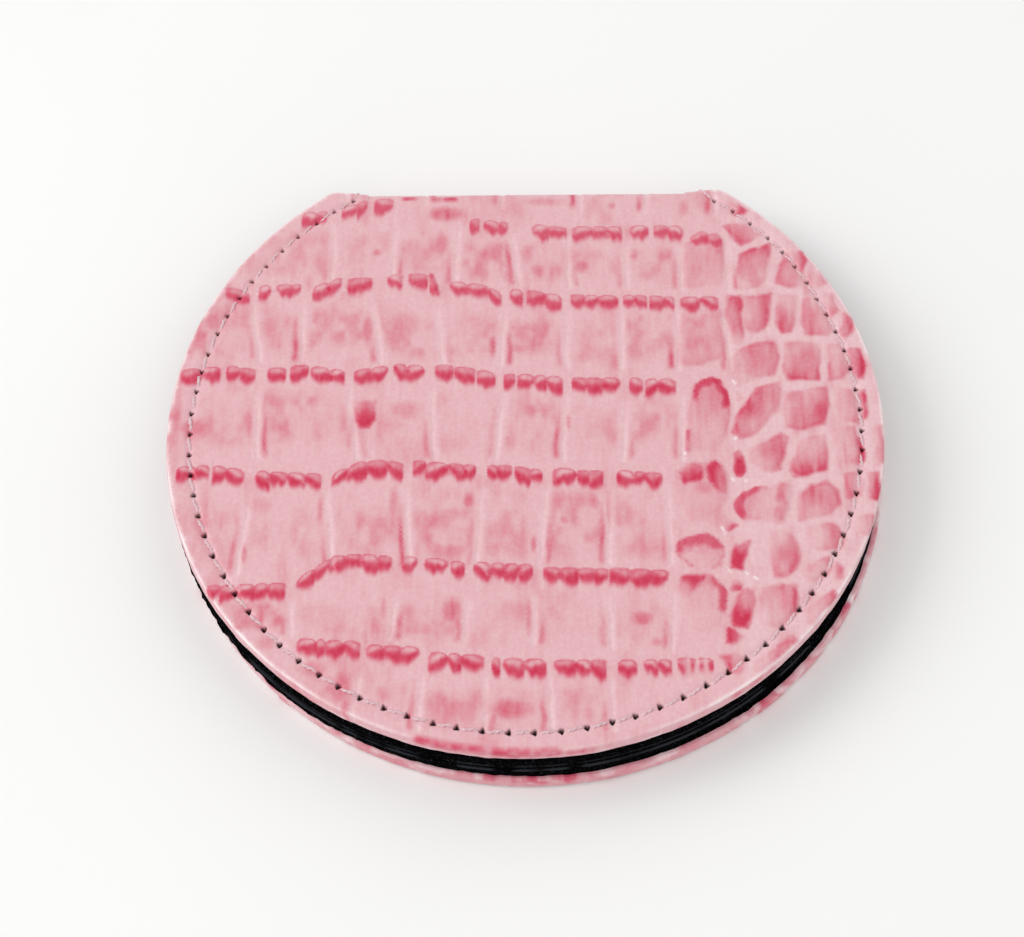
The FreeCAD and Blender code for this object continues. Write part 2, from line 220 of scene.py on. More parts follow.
# The embossed hide, seen flat: x to the right, v towards the spine and on over it to the base.
# Each line is the back edge of one scale, where its row of dark beads begins.
BEAD_LINES = (
    ((-23.6, 26.7), (-21.0, 26.9)), ((-19.4, 27.3), (-16.8, 28.3)), ((-16.0, 28.4), (-14.1, 28.5)),
    ((-12.9, 36.3), (-7.7, 36.2)), ((-5.9, 25.6), (-4.9, 25.8)), ((-4.4, 25.6), (-1.9, 25.2)),
    ((0.7, 25.0), (4.2, 24.5)), ((4.9, 24.6), (10.0, 24.6)), ((10.9, 24.7), (12.8, 24.7)),
    ((13.4, 24.7), (16.4, 24.6)), ((17.2, 23.3), (18.4, 23.9), (20.4, 23.3)),
    ((-31.0, 17.3), (-28.6, 16.5)), ((-27.6, 17.4), (-26.4, 17.4)), ((-25.8, 17.5), (-23.3, 17.5)),
    ((-22.0, 17.2), (-19.1, 18.4)), ((-18.4, 18.2), (-16.0, 18.3)), ((-14.3, 18.5), (-12.8, 18.7)),
    ((-12.1, 18.8), (-10.2, 18.7)), ((-9.9, 18.4), (-9.1, 17.6)), ((-7.8, 17.8), (-3.9, 17.2)),
    ((-3.8, 17.0), (-2.5, 16.2)), ((-1.6, 16.8), (-0.3, 16.6)), ((0.2, 16.6), (3.7, 15.9)),
    ((4.7, 16.0), (9.5, 15.8)), ((10.1, 15.9), (12.5, 15.8)), ((12.8, 15.8), (15.3, 15.6)),
    ((16.0, 15.6), (19.8, 15.6)),
    ((-34.9, 7.0), (-31.0, 7.4)), ((-30.3, 7.5), (-27.4, 7.0)), ((-26.1, 7.2), (-24.3, 7.2)),
    ((-23.8, 7.4), (-22.0, 7.5)), ((-21.7, 7.4), (-18.3, 6.8)), ((-17.3, 6.8), (-13.9, 7.4)),
    ((-13.3, 7.6), (-10.2, 7.3)), ((-9.1, 7.4), (-7.3, 7.4)), ((-7.1, 7.2), (-5.1, 7.0)),
    ((-4.8, 6.9), (-3.0, 6.4)), ((-2.1, 6.2), (-1.0, 6.3)), ((-0.7, 6.3), (3.8, 5.9)),
    ((4.8, 5.8), (9.6, 5.7)), ((10.6, 5.8), (11.9, 5.6)), ((12.2, 5.6), (15.2, 5.5)),
    ((-34.5, -4.5), (-31.3, -4.3)), ((-30.9, -4.3), (-27.8, -4.9)), ((-26.6, -5.0), (-20.1, -5.4)),
    ((-19.0, -5.4), (-16.4, -4.0), (-14.0, -3.8), (-12.0, -4.2)), ((-11.0, -3.9), (-4.8, -4.5)),
    ((-3.6, -4.5), (-1.2, -4.5)), ((-0.9, -4.6), (1.8, -5.1)), ((2.9, -4.8), (5.2, -5.0)),
    ((5.3, -5.1), (7.8, -5.2)), ((9.2, -5.1), (13.6, -5.5)),
    ((-30.6, -17.9), (-23.0, -17.6)), ((-21.9, -17.2), (-18.6, -14.7), (-15.5, -14.4), (-12.8, -14.8)),
    ((-11.7, -14.7), (-10.3, -14.8)), ((-9.5, -14.9), (-7.3, -15.1)), ((-7.0, -15.2), (-5.7, -15.4)),
    ((-4.8, -15.4), (0.9, -15.7)), ((2.0, -16.0), (8.2, -16.2)), ((8.4, -16.1), (14.0, -16.4)),
    ((-21.5, -23.6), (-15.5, -24.0)), ((-14.8, -24.3), (-9.8, -24.6)), ((-8.9, -25.1), (-3.7, -25.5)),
    ((-2.9, -25.8), (-2.1, -25.8)), ((-1.8, -25.8), (2.2, -25.9)), ((3.0, -26.0), (7.9, -26.0)),
    ((9.1, -26.0), (10.8, -26.0)), ((11.5, -26.0), (14.1, -26.0)), ((14.7, -25.8), (18.0, -25.9)),
)

# Curved dark ends of scales, and streaks on the lid's back edge and front rim: points, half width,
# strength
DARK_STROKES = (
    (((19.8, 23.1), (20.1, 22.2), (20.0, 21.2)), 0.45, 0.6),
    (((16.35, -0.8), (16.25, -3.0)), 0.26, 0.8),
    (((-12.9, 28.3), (-11.7, 28.3)), 0.3, 0.7),
    (((-9.8, 28.2), (-7.5, 28.2)), 0.32, 0.75),
    (((25.5, -7.3), (25.2, -9.0), (24.8, -10.8)), 0.7, 0.45),
    (((21.4, -1.1), (21.3, -0.2), (22.2, 1.8), (23.3, 3.6)), 0.4, 0.65),
    (((-9.8, 18.4), (-9.1, 16.1)), 0.3, 0.8),
    (((-9.6, -34.8), (-6.5, -35.5), (-3.9, -35.9)), 0.75, 0.7),
    (((-2.2, -36.1), (0.6, -36.2), (3.0, -36.1)), 0.8, 0.75),
    (((4.6, -36.2), (6.6, -35.9)), 0.5, 0.4),
    (((20.2, -30.3), (22.2, -28.9), (24.0, -27.4)), 0.4, 0.4),
)

# Light folds between the scales of a row: v of both ends at BAND_LEFT, the same at BAND_RIGHT, then
# each fold's x at both ends
FOLD_BANDS = (
    ((27.2, 17.6), (23.2, 15.9), ((-20.0, -20.2), (-13.6, -13.9), (-7.0, -7.3), (-1.5, -0.5),
                                  (4.3, 4.5), (10.4, 10.5), (16.2, 16.1), (20.8, 20.9))),
    ((16.6, 7.6), (15.0, 5.9), ((-28.0, -27.0), (-22.9, -22.6), (-15.6, -14.5), (-9.0, -8.3),
                                (-2.0, -2.4), (4.1, 4.3), (9.8, 9.9), (15.8, 15.5), (20.5, 20.9))),
    ((6.2, -4.0), (4.8, -4.6), ((-27.1, -26.6), (-17.8, -16.5), (-9.4, -8.9), (-2.0, -2.7), (4.2, 3.9),
                                (10.2, 9.9), (16.0, 15.7))),
    ((-5.6, -17.4), (-5.8, -16.0), ((-27.0, -27.8), (-19.4, -18.4), (-11.6, -11.0), (-4.1, -4.6),
                                    (2.2, 1.6), (8.4, 8.4), (14.2, 14.4))),
    ((-18.6, -23.4), (-17.4, -25.8), ((-22.3, -22.1), (-12.1, -12.8), (-5.2, -5.5), (1.4, 1.0),
                                      (8.2, 8.6), (14.5, 14.3))),
    ((-25.4, -34.0), (-27.2, -34.0), ((-15.2, -16.4), (-9.4, -9.8), (-3.3, -3.5), (2.6, 2.8),
                                      (8.5, 8.6))),
)

# Cells of the flank: corner points, strength of the darker colour, bearing of its side in degrees
FLANK_CELLS = (
    (((21.3, 27.7), (22.2, 27.3), (23.1, 26.4), (22.6, 26.0), (21.8, 25.6),
      (21.1, 26.2)), 0.6, 320),
    (((20.9, 24.4), (22.3, 24.9), (23.3, 24.3), (24.4, 23.3), (23.6, 22.6), (22.4, 22.0),
      (21.6, 22.9)), 0.5, 220),
    (((21.4, 16.6), (22.1, 19.4), (22.3, 20.7), (24.3, 21.7), (25.4, 22.1), (25.2, 20.0),
      (24.9, 17.9), (24.2, 16.9), (22.9, 16.5)), 0.6, 110),
    (((25.9, 17.2), (26.2, 19.2), (27.0, 20.9), (27.7, 20.2), (28.5, 18.0), (28.3, 16.9),
      (27.2, 16.7)), 0.5, 200),
    (((27.8, 21.0), (28.6, 21.0), (29.0, 20.0), (28.5, 18.5), (27.9, 19.3)), 0.7, 0),
    (((29.5, 18.3), (30.4, 18.7), (31.2, 17.2), (30.2, 16.8)), 0.25, 0),
    (((20.8, 15.6), (22.2, 15.6), (22.2, 13.5), (22.1, 10.6), (21.7, 9.5), (21.2, 10.2),
      (20.7, 12.5)), 0.65, 70),
    (((22.0, 15.5), (23.8, 15.7), (25.3, 15.8), (24.9, 13.0), (24.4, 11.2), (23.2, 10.9),
      (22.5, 11.8)), 0.65, 30),
    (((25.8, 15.7), (27.8, 15.5), (27.6, 13.0), (27.2, 11.2), (26.2, 11.0),
      (25.7, 12.0)), 0.5, 250),
    (((28.7, 15.1), (30.2, 15.3), (31.1, 13.0), (31.2, 11.4), (30.6, 10.6), (28.5, 10.8),
      (28.3, 12.2)), 0.45, 200),
    (((30.6, 15.7), (31.4, 15.6), (32.0, 13.8), (31.2, 12.8), (30.9, 14.0)), 0.4, 0),
    (((32.6, 13.2), (33.3, 12.6), (33.4, 11.2), (32.6, 10.1), (32.1, 11.0)), 0.65, 320),
    (((20.7, 5.8), (20.5, 7.3), (21.6, 8.8), (23.6, 9.7), (25.6, 10.0), (25.7, 8.0), (25.1, 5.9),
      (23.4, 5.3), (21.6, 4.8)), 0.48, 40),
    (((26.5, 9.7), (29.7, 9.7), (29.9, 7.6), (29.6, 5.4), (26.5, 5.3), (26.1, 7.0)), 0.58, 290),
    (((30.9, 9.5), (32.2, 9.5), (32.9, 7.0), (32.2, 5.3), (30.8, 5.3), (30.7, 7.6)), 0.38, 250),
    (((33.0, 8.9), (33.9, 8.9), (34.4, 7.0), (34.1, 5.4), (33.3, 5.2), (33.0, 7.2)), 0.75, 0),
    (((20.8, -0.9), (21.2, 0.6), (22.1, 2.4), (23.3, 4.3), (25.6, 4.9), (25.9, 3.6), (25.1, 1.6),
      (23.6, -0.3), (22.6, -1.2), (21.6, -1.6)), 0.62, 150),
    (((21.4, 3.7), (21.8, 3.6), (21.8, 3.0), (21.5, 2.9)), 0.5, 270),
    (((26.2, 3.7), (28.2, 4.0), (30.3, 4.2), (30.4, 2.2), (29.9, 0.1), (27.6, -0.5), (26.2, -0.3),
      (26.1, 1.8)), 0.6, 320),
    (((31.6, 4.1), (33.0, 4.1), (33.4, 2.2), (33.2, 0.3), (31.5, 0.5), (31.4, 2.2)), 0.35, 0),
    (((33.4, 4.1), (34.1, 4.0), (34.4, 2.2), (34.0, 0.7), (33.3, 0.7)), 0.8, 0),
    (((20.95, -3.5), (21.3, -3.1), (21.6, -3.9), (21.85, -5.4), (21.4, -6.0), (21.1, -5.9),
      (20.85, -4.9)), 1.9, 300),
    (((22.4, -4.0), (22.4, -2.9), (24.0, -2.1), (25.6, -1.1), (26.2, -1.6), (25.8, -3.4),
      (25.3, -5.1), (24.4, -5.5), (23.4, -5.1)), 0.48, 10),
    (((26.7, -3.8), (27.3, -2.1), (28.4, -1.6), (29.8, -1.4), (29.9, -3.6), (29.8, -5.2),
      (28.0, -5.8), (26.6, -6.0), (26.3, -5.4)), 0.58, 300),
    (((30.8, -0.6), (32.8, -0.4), (33.4, -2.6), (33.2, -4.6), (31.1, -4.7), (30.8, -2.6)), 0.32, 0),
    (((32.7, -1.7), (33.4, -1.5), (33.6, -4.3), (32.6, -4.6), (32.5, -3.2)), 0.8, 0),
    (((34.8, -0.2), (35.7, -0.2), (35.8, -4.2), (34.9, -4.7)), 0.4, 0),
    (((20.7, -9.2), (21.6, -7.9), (22.8, -7.3), (24.2, -7.2), (26.2, -6.6), (26.2, -8.4),
      (25.6, -10.7), (24.6, -11.4), (23.2, -11.1), (21.7, -11.0), (20.9, -10.1)), 0.3, 160),
    (((27.1, -8.0), (28.4, -7.0), (29.8, -6.5), (30.7, -7.6), (30.9, -9.2), (30.2, -10.4),
      (28.4, -10.5), (27.0, -11.0), (26.8, -9.4)), 0.58, 60),
    (((31.7, -5.9), (33.0, -5.6), (33.4, -6.8), (32.9, -8.1), (31.8, -8.5)), 0.45, 200),
    (((33.9, -5.7), (34.8, -5.7), (35.1, -7.2), (34.7, -8.6), (34.0, -8.4)), 0.75, 330),
    (((19.95, -10.95), (20.8, -11.55), (20.0, -12.05), (19.8, -11.7)), 1.4, 300),
    (((20.7, -13.7), (21.8, -13.35), (21.6, -14.8), (21.1, -16.25), (20.15, -16.2),
      (20.35, -14.9)), 1.9, 270),
    (((24.1, -12.5), (25.6, -12.2), (26.6, -13.6), (26.9, -14.8), (26.3, -16.3), (25.4, -17.2),
      (24.3, -17.3), (23.9, -15.6)), 0.5, 320),
    (((27.7, -11.9), (30.2, -11.2), (31.1, -12.6), (30.7, -13.9), (28.6, -14.3),
      (27.5, -13.9)), 0.42, 0),
    (((32.9, -10.5), (34.5, -10.3), (34.3, -11.8), (33.4, -12.8), (32.7, -12.2)), 0.45, 0),
    (((27.4, -15.9), (29.6, -15.2), (29.9, -16.4), (29.0, -17.5), (27.4, -18.0),
      (27.1, -17.0)), 0.36, 0),
    (((30.2, -15.7), (30.9, -16.2), (30.7, -17.2), (30.1, -17.9), (29.8, -16.8)), 0.75, 0),
    (((20.4, -17.7), (21.2, -17.8), (20.8, -18.5), (20.2, -18.6)), 0.7, 270),
    (((20.5, -19.7), (21.4, -18.6), (22.3, -18.4), (22.0, -20.4), (21.6, -22.2), (21.4, -22.8),
      (20.2, -22.5), (19.9, -21.6)), 1.1, 240),
    (((22.7, -18.7), (24.6, -18.1), (26.2, -18.1), (26.5, -19.6), (26.0, -21.2), (24.6, -22.7),
      (23.0, -22.5), (22.3, -21.0)), 0.4, 10),
    (((24.8, -18.5), (26.3, -18.3), (26.4, -20.0), (25.6, -21.7), (24.9, -21.0)), 0.6, 0),
    (((27.1, -20.9), (28.0, -20.1), (29.8, -18.8), (30.3, -19.4), (28.6, -21.5), (27.8, -22.4),
      (27.1, -22.2)), 0.45, 0),
    (((19.6, -22.8), (20.9, -23.7), (20.1, -24.4), (19.4, -24.3)), 0.9, 180),
    (((18.7, -25.7), (20.6, -25.3), (21.2, -25.9), (21.1, -26.9), (20.4, -27.8), (19.6, -27.3),
      (19.1, -26.4)), 0.65, 200),
    (((22.1, -26.3), (24.0, -24.9), (25.6, -23.8), (26.1, -24.3), (24.4, -25.9), (22.8, -27.5),
      (22.0, -27.3)), 0.45, 0),
)

# Last scales before the flank, more filled than the others, and single dark patches: as the cells
END_SCALES = (
    (((16.3, 17.0), (16.5, 21.8), (18.2, 23.2), (20.3, 22.6), (20.6, 20.0), (20.2, 17.2),
      (17.2, 16.6)), 0.3, 60),
    (((15.5, 7.6), (16.0, 13.5), (19.9, 13.8), (20.3, 10.0), (20.1, 8.1), (18.6, 7.3),
      (16.4, 7.0)), 0.32, 300),
    (((16.2, -2.9), (16.5, 1.0), (16.9, 3.6), (17.3, 4.7), (18.0, 5.25), (18.8, 5.35), (19.6, 5.1),
      (20.2, 4.2), (20.45, 2.6), (20.3, 0.3), (19.6, -2.0), (18.5, -2.8)), 0.34, 90),
    (((15.1, -5.4), (17.0, -4.5), (19.0, -4.3), (20.2, -6.4), (20.1, -8.6), (18.8, -10.5),
      (16.4, -10.9), (15.1, -9.0)), 0.26, 80),
    (((15.5, -5.6), (16.2, -4.8), (17.6, -4.5), (18.0, -5.4), (17.3, -6.5),
      (15.9, -6.7)), 1.0, 250),
    (((14.95, -14.5), (15.25, -13.5), (16.0, -12.95), (17.0, -12.75), (17.9, -12.65), (18.8, -13.1),
      (19.25, -14.0), (19.2, -15.0), (18.85, -15.9), (18.0, -16.2), (16.2, -16.0)), 0.26, 60),
    (((15.4, -17.0), (17.4, -17.2), (16.7, -18.2), (15.8, -19.5), (15.0, -18.6)), 0.9, 60),
    (((15.1, -18.6), (16.2, -17.6), (17.8, -17.15), (18.7, -17.6), (19.3, -18.6), (19.5, -19.9),
      (19.2, -21.2), (18.6, -22.6), (16.6, -23.4)), 0.15, 90),
    (((18.0, -4.9), (18.8, -4.4), (19.6, -4.9), (20.05, -6.2), (20.0, -8.2), (19.2, -8.1),
      (18.6, -6.9), (18.2, -5.9)), 1.3, 165),
    (((-17.0, 2.9), (-15.1, 3.0), (-15.1, 1.0), (-15.7, 0.0), (-16.5, 0.0),
      (-16.9, 0.9)), 0.9, 270),
)

# Dark crowns inside the edge of a scale or cell: its corners, bearings of both ends, depth, strength
CROWNS = (
    (END_SCALES[2][0], 20, 128, 1.25, 0.95),
    (END_SCALES[2][0], -55, 30, 0.4, 0.4),
    (END_SCALES[5][0], 5, 186, 1.7, 0.72),
    (END_SCALES[5][0], -60, 12, 0.45, 0.4),
    (END_SCALES[5][0], 180, 265, 0.4, 0.45),
    (END_SCALES[7][0], -25, 80, 1.5, 0.7),
    (((20.7, -9.2), (21.6, -7.9), (22.8, -7.3), (24.2, -7.2), (24.6, -11.4), (23.2, -11.1),
      (21.7, -11.0), (20.9, -10.1)), 70, 235, 1.1, 0.8),
)

# Light gaps cut into broad beads: back end and front end
CUTS = (
    ((15.7, -25.7), (15.65, -27.9)), ((16.55, -25.7), (16.45, -27.9)), ((17.3, -25.7), (17.4, -27.9)),
)

# Painted white highlights on the ridges beside the flank: both ends
PAINTED_GLINTS = (
    ((15.9, -3.4), (16.0, -3.2)), ((20.9, -1.7), (21.1, -1.5)), ((20.5, -6.2), (20.7, -6.5)),
    ((21.8, -6.6), (22.0, -6.4)), ((19.3, -11.7), (19.6, -12.5)), ((19.8, -16.4), (20.0, -16.8)),
    ((21.5, -16.8), (21.7, -17.0)), ((22.2, -17.2), (22.6, -17.5)), ((21.0, 5.2), (21.3, 4.9)),
)

# Darker smears inside the scales: middle, half width, half height, strength
SMEARS = (
    (-12.0, 1.9, 1.7, 1.1, 0.28), (-8.4, 26.3, 1.9, 1.0, 0.6),
    (-16.2, 11.6, 0.6, 1.9, 0.5), (-23.6, 12.2, 0.3, 1.4, 0.4), (-26.2, 12.3, 1.2, 1.3, 0.25),
    (-12.4, 12.3, 1.9, 1.7, 0.25), (-3.3, 9.6, 0.35, 1.4, 0.6), (-8.9, 22.4, 0.9, 1.6, 0.4),
    (-12.0, 22.0, 1.2, 1.2, 0.25), (-15.6, 21.4, 0.5, 0.5, 0.4), (5.8, 19.4, 0.9, 0.9, 0.45),
    (3.3, 18.8, 0.5, 0.9, 0.35), (-6.8, -20.8, 1.0, 1.5, 0.5), (11.4, -21.7, 1.2, 0.8, 0.5),
    (12.7, -24.2, 0.7, 0.5, 0.35), (-23.3, -21.8, 0.8, 0.7, 0.5), (-24.5, -24.2, 0.8, 0.9, 0.4),
    (-1.0, -31.2, 2.2, 1.2, 0.55), (-8.0, -30.5, 1.3, 1.3, 0.4), (-17.0, -28.7, 0.9, 1.3, 0.55),
    (-20.0, -27.0, 1.4, 1.0, 0.35), (-5.4, -8.7, 0.6, 0.9, 0.5), (-12.8, -9.2, 0.5, 2.2, 0.35),
    (-26.0, -9.0, 1.3, 1.0, 0.2), (4.0, -10.8, 0.5, 0.5, 0.4), (1.0, -13.5, 0.3, 1.0, 0.55),
    (2.4, -13.5, 0.3, 1.0, 0.55), (-28.4, -14.0, 0.3, 1.4, 0.5), (-27.2, -14.5, 0.3, 1.2, 0.5),
    (0.6, -21.6, 0.3, 1.9, 0.4), (-13.4, -20.5, 0.3, 1.4, 0.45), (16.6, 26.9, 0.6, 1.0, 0.3),
    (9.0, 27.2, 0.4, 0.5, 0.35), (2.0, 27.8, 2.0, 0.6, 0.25), (2.9, 1.0, 0.3, 1.0, 0.35),
    (4.4, 0.5, 0.25, 1.0, 0.35), (-27.6, 0.5, 0.3, 1.9, 0.4), (8.4, -9.6, 0.35, 2.2, 0.3),
    (17.8, -7.3, 1.4, 0.9, 0.35), (17.8, 1.6, 1.2, 2.2, 0.25), (18.3, 20.4, 1.4, 1.6, 0.3),
    (17.4, 11.2, 1.3, 2.2, 0.25), (-20.0, -9.5, 0.3, 1.8, 0.4), (-17.5, -1.6, 0.25, 1.2, 0.4),
)


class Hide:
    """Height and tints of the embossed leather at points of the flat hide."""

    def __init__(self, x, v):
        self.x = x
        self.v = v
        self.rise = np.zeros(len(x))
        # The dark tint is the leather's tipping, and on a cover's sides painted shade as well; the
        # pale tint is the pale leather, and painted highlights and light as well.
        self.tip = np.zeros(len(x))
        self.pale = np.zeros(len(x))

    def near(self, x_low, x_high, v_low, v_high):
        """Numbers of the points inside a rectangle."""
        inside = (self.x > x_low) & (self.x < x_high) & (self.v > v_low) & (self.v < v_high)
        return np.nonzero(inside)[0]

    def around(self, points, reach):
        """Numbers of the points within reach of the box round a line or shape."""
        low, high = points.min(0) - reach, points.max(0) + reach
        return self.near(low[0], high[0], low[1], high[1])

    def darken(self, at, tint):
        """The stronger of the old dark tint and the new one."""
        self.tip[at] = np.maximum(self.tip[at], tint)

    def lighten(self, at, tint):
        """The stronger of the old pale tint and the new one."""
        self.pale[at] = np.maximum(self.pale[at], tint)


def add_bead(hide, left, right, line, rng):
    """One bead: a crisp round back edge, a lighter hollow with a painted highlight, darker and ragged
    towards the front.
    """
    tall = rng.uniform(1.65, 2.25)
    skew = rng.uniform(-0.25, 0.25)
    slant = rng.uniform(-0.28, 0.28)
    clear = rng.uniform(0.15, 0.75)
    at = hide.near(left - 0.3, right + 0.3, line[:, 1].min() - 3.0, line[:, 1].max() + 0.5)
    x = hide.x[at]
    u = (x - (left + right) / 2) / ((right - left) / 2)
    v = np.interp(x, line[:, 0], line[:, 1]) - hide.v[at]
    back = (0.03 + 0.25 * clear) * tall * np.abs(u) ** 3
    drip = noise(x * 2.3, hide.v[at] * 0.3, 5) - 0.5
    front = tall * (1 - 0.2 * u * u + skew * u) + 0.55 * drip
    q = (v - back) / np.maximum(front - back, 0.2)
    inside = ramp(-0.08, 0.12, v - back) * (1 - ramp(-0.6, 0.45, v - front))
    inside = inside * (1 - ramp(0.97, 1.18, np.abs(u)))
    edge_line = 0.66 * bell(v - back - 0.1, 0.13)
    # The lighter hollow: paler leather and a painted highlight in one.
    hollow_and_painted_highlight = bell(q - 0.25 - slant * u, 0.19) * (1 - ramp(0.4, 0.95, np.abs(u)))
    fleck = noise(x * 3.5, hide.v[at] * 1.2, 6)
    body = 0.66 + 0.38 * ramp(0.25, 0.66, q - slant * u) - 0.65 * clear * hollow_and_painted_highlight - 0.2 * fleck
    strength = 1 - 0.16 * ramp(0, 26, line[0, 1])
    hide.darken(at, strength * inside * np.maximum(edge_line, body))
    dome = np.sqrt(np.clip(1 - 0.8 * u * u, 0, 1)) * np.sin(math.pi * np.clip(q, 0, 1) ** 0.75)
    hide.rise[at] += BEAD_RISE * inside * dome
    hide.rise[at] -= BEAD_NICK * bell(v + 0.12, 0.2) * (1 - ramp(0.9, 1.2, np.abs(u)))


def add_bead_line(hide, points, rng):
    """The beads along one scale's back edge; some run into their neighbour."""
    line = np.array(points)
    left, right = line[0, 0], line[-1, 0]
    count = max(1, round((right - left) / BEAD_WIDE))
    cuts = np.linspace(left, right, count + 1)
    cuts[1:-1] += rng.uniform(-0.4, 0.4, count - 1)
    for start, end in zip(cuts[:-1], cuts[1:]):
        add_bead(hide, start, end, line, rng)
    for cut in cuts[1:-1]:
        v = np.interp(cut, line[:, 0], line[:, 1]) - rng.uniform(0.9, 1.3)
        add_smear(hide, cut, v, 0.6, 0.5, rng.uniform(0.2, 1.0))


def from_segment(here, start, end):
    """Distances of points from a straight stretch."""
    run = end - start
    t = np.clip((here - start) @ run / (run @ run), 0, 1)
    return np.linalg.norm(here - start - t[:, None] * run, axis=1)


def near_line(hide, points, reach):
    """Numbers of the points near a line of points, and their distances from it."""
    line = np.array(points)
    at = hide.around(line, reach)
    here = np.stack([hide.x[at], hide.v[at]], 1)
    away = np.full(len(at), FAR)
    for start, end in zip(line[:-1], line[1:]):
        away = np.minimum(away, from_segment(here, start, end))
    return at, away


def add_painted_glint(hide, points):
    """A small painted white highlight on a ridge."""
    at, away = near_line(hide, points, 0.5)
    core = 1 - ramp(0.0, 0.22, away)
    hide.lighten(at, 1.6 * core)
    hide.tip[at] *= 1 - core


def add_cut(hide, back, front):
    """A light gap in a bead, wider towards the front."""
    at = hide.near(min(back[0], front[0]) - 1, max(back[0], front[0]) + 1, front[1], back[1] + 0.2)
    t = (back[1] - hide.v[at]) / (back[1] - front[1])
    off = hide.x[at] - back[0] - (front[0] - back[0]) * t
    gap = bell(off, 0.07 + 0.42 * np.clip(t, 0, 1))
    hide.tip[at] *= 1 - 0.85 * gap
    hide.rise[at] -= CUT_SINK * gap


def add_stroke(hide, points, half, strength):
    """A curved dark bead along a line of points."""
    at, away = near_line(hide, points, 3 * half)
    grain = 0.45 + 0.8 * noise(hide.x[at] * 1.9, hide.v[at] * 1.3, 7)
    core = 1 - ramp(0.25 * half, 1.5 * half, away)
    hide.darken(at, strength * grain * core)
    hide.rise[at] += STROKE_RISE * core


def add_fold(hide, start, end, rng):
    """A light fold between two scales, with darker smears beside it and a painted white highlight at
    its front end.
    """
    (x_back, v_back), (x_front, v_front) = start, end
    middle = (x_back + x_front) / 2
    side = -1 if rng.uniform() < 0.75 else 1
    clear = rng.uniform(0.3, 0.8) * (1 - 0.4 * ramp(4, 22, v_back))
    begin = rng.uniform(0.25, 0.7)
    strength = rng.uniform(0.2, 0.65)
    at = hide.near(middle - 3, middle + 3, v_front - 0.8, v_back + 0.8)
    t = (v_back - hide.v[at]) / (v_back - v_front)
    line = x_back + (x_front - x_back) * t + 0.25 * (noise(t * 4, t * 0 + x_back, 11) - 0.5)
    off = hide.x[at] - line
    along = within(-0.06, 0.12, 0.92, 1.03, t)
    core = bell(off, 0.17) * along
    band = np.exp(-(off / 0.5) ** 4) * along
    hide.rise[at] -= FOLD_SINK * core * (0.35 + 0.65 * t)
    hide.rise[at] += FOLD_LIP * bell(off - 0.5, 0.3) * along
    # Painted highlight: a white spot at the front end of some folds.
    painted_glint = bell(t - 0.97, 0.035) * rng.uniform(0, 0.8)
    hide.lighten(at, 0.2 * band + core * clear * (0.1 + 0.5 * t + painted_glint))
    smear = bell(off - side * 0.75, 0.3) * within(begin - 0.3, begin + 0.25, 0.88, 0.99, t)
    smear = smear * (0.6 + 0.8 * noise(hide.x[at] * 3, hide.v[at], 13))
    hide.darken(at, strength * smear)


def add_body(hide, left, right, rng):
    """Darker cloudy middle of a scale between two light folds."""
    (left_back, left_front), (right_back, right_front) = np.array(left), np.array(right)
    v_back = (left_back[1] + right_back[1]) / 2
    v_front = (left_front[1] + right_front[1]) / 2
    x_low, x_high = min(left_back[0], left_front[0]), max(right_back[0], right_front[0])
    at = hide.near(x_low, x_high, v_front, v_back)
    x, v = hide.x[at], hide.v[at]
    t = (v_back - v) / (v_back - v_front)
    from_left = x - (left_back[0] + (left_front[0] - left_back[0]) * t)
    from_right = right_back[0] + (right_front[0] - right_back[0]) * t - x
    top, bottom = rng.uniform(0.05, 0.3), rng.uniform(0.75, 0.95)
    inside = ramp(0.2, 1.0, from_left) * ramp(0.2, 1.0, from_right)
    inside = inside * within(top - 0.12, top + 0.15, bottom - 0.2, bottom + 0.05, t)
    streak = noise(x / 0.42, v / 2.4, 101)
    cloud = 0.6 * noise(x / 1.6, v / 2.1, 103) + 0.4 * noise(x / 0.7, v, 107)
    tint = rng.uniform(0.14, 0.4) * (0.12 + ramp(0.35, 0.8, cloud)) * (0.7 + 0.5 * streak)
    hide.darken(at, inside * tint)


def edge_gap(corners, x, v):
    """Distance outwards from a many-sided shape, its corners rounded off inside; negative inside."""
    here = np.stack([x, v], 1)
    nearness = np.zeros(len(x))
    nearest = np.full(len(x), FAR)
    inside = np.zeros(len(x), bool)
    for start, end in zip(corners, np.roll(corners, -1, 0)):
        away = from_segment(here, start, end)
        nearness += np.exp(-CORNER_SHARP * away)
        nearest = np.minimum(nearest, away)
        run = end - start
        if run[1] != 0:
            left_of_edge = x < start[0] + (v - start[1]) * run[0] / run[1]
            inside ^= ((start[1] > v) != (end[1] > v)) & left_of_edge
    return np.where(inside, np.log(np.maximum(nearness, TINY)) / CORNER_SHARP, nearest)


def cell_gap(corners, x, v):
    """Distance outwards from the uneven edge of a cell, which lies a little outside its corners."""
    return edge_gap(corners, x, v) - 0.2 + 0.35 * (noise(x * 0.9, v * 0.9, 17) - 0.5)


def add_crown(hide, points, first, last, deep, strength):
    """A dark band inside a scale's edge between two bearings, crisp outside and ragged inside."""
    corners = np.array(points)
    at = hide.around(corners, CELL_REACH)
    x, v = hide.x[at], hide.v[at]
    middle = (corners.min(0) + corners.max(0)) / 2
    bearing = np.degrees(np.arctan2(v - middle[1], x - middle[0]))
    turn = (bearing - first + 60) % 360 - 60
    span = within(-12, 12, last - first - 14, last - first + 14, turn)
    inward = -cell_gap(corners, x, v)
    ragged = deep * (0.45 + 1.0 * noise(x * 2.1, v * 0.35, 5))
    band = within(-0.12, 0.12, 0.3 * ragged, ragged, inward)
    hide.darken(at, strength * span * band * (0.85 + 0.3 * noise(x * 2.6, v * 0.7, 137)))
    hide.rise[at] += CROWN_RISE * span * band


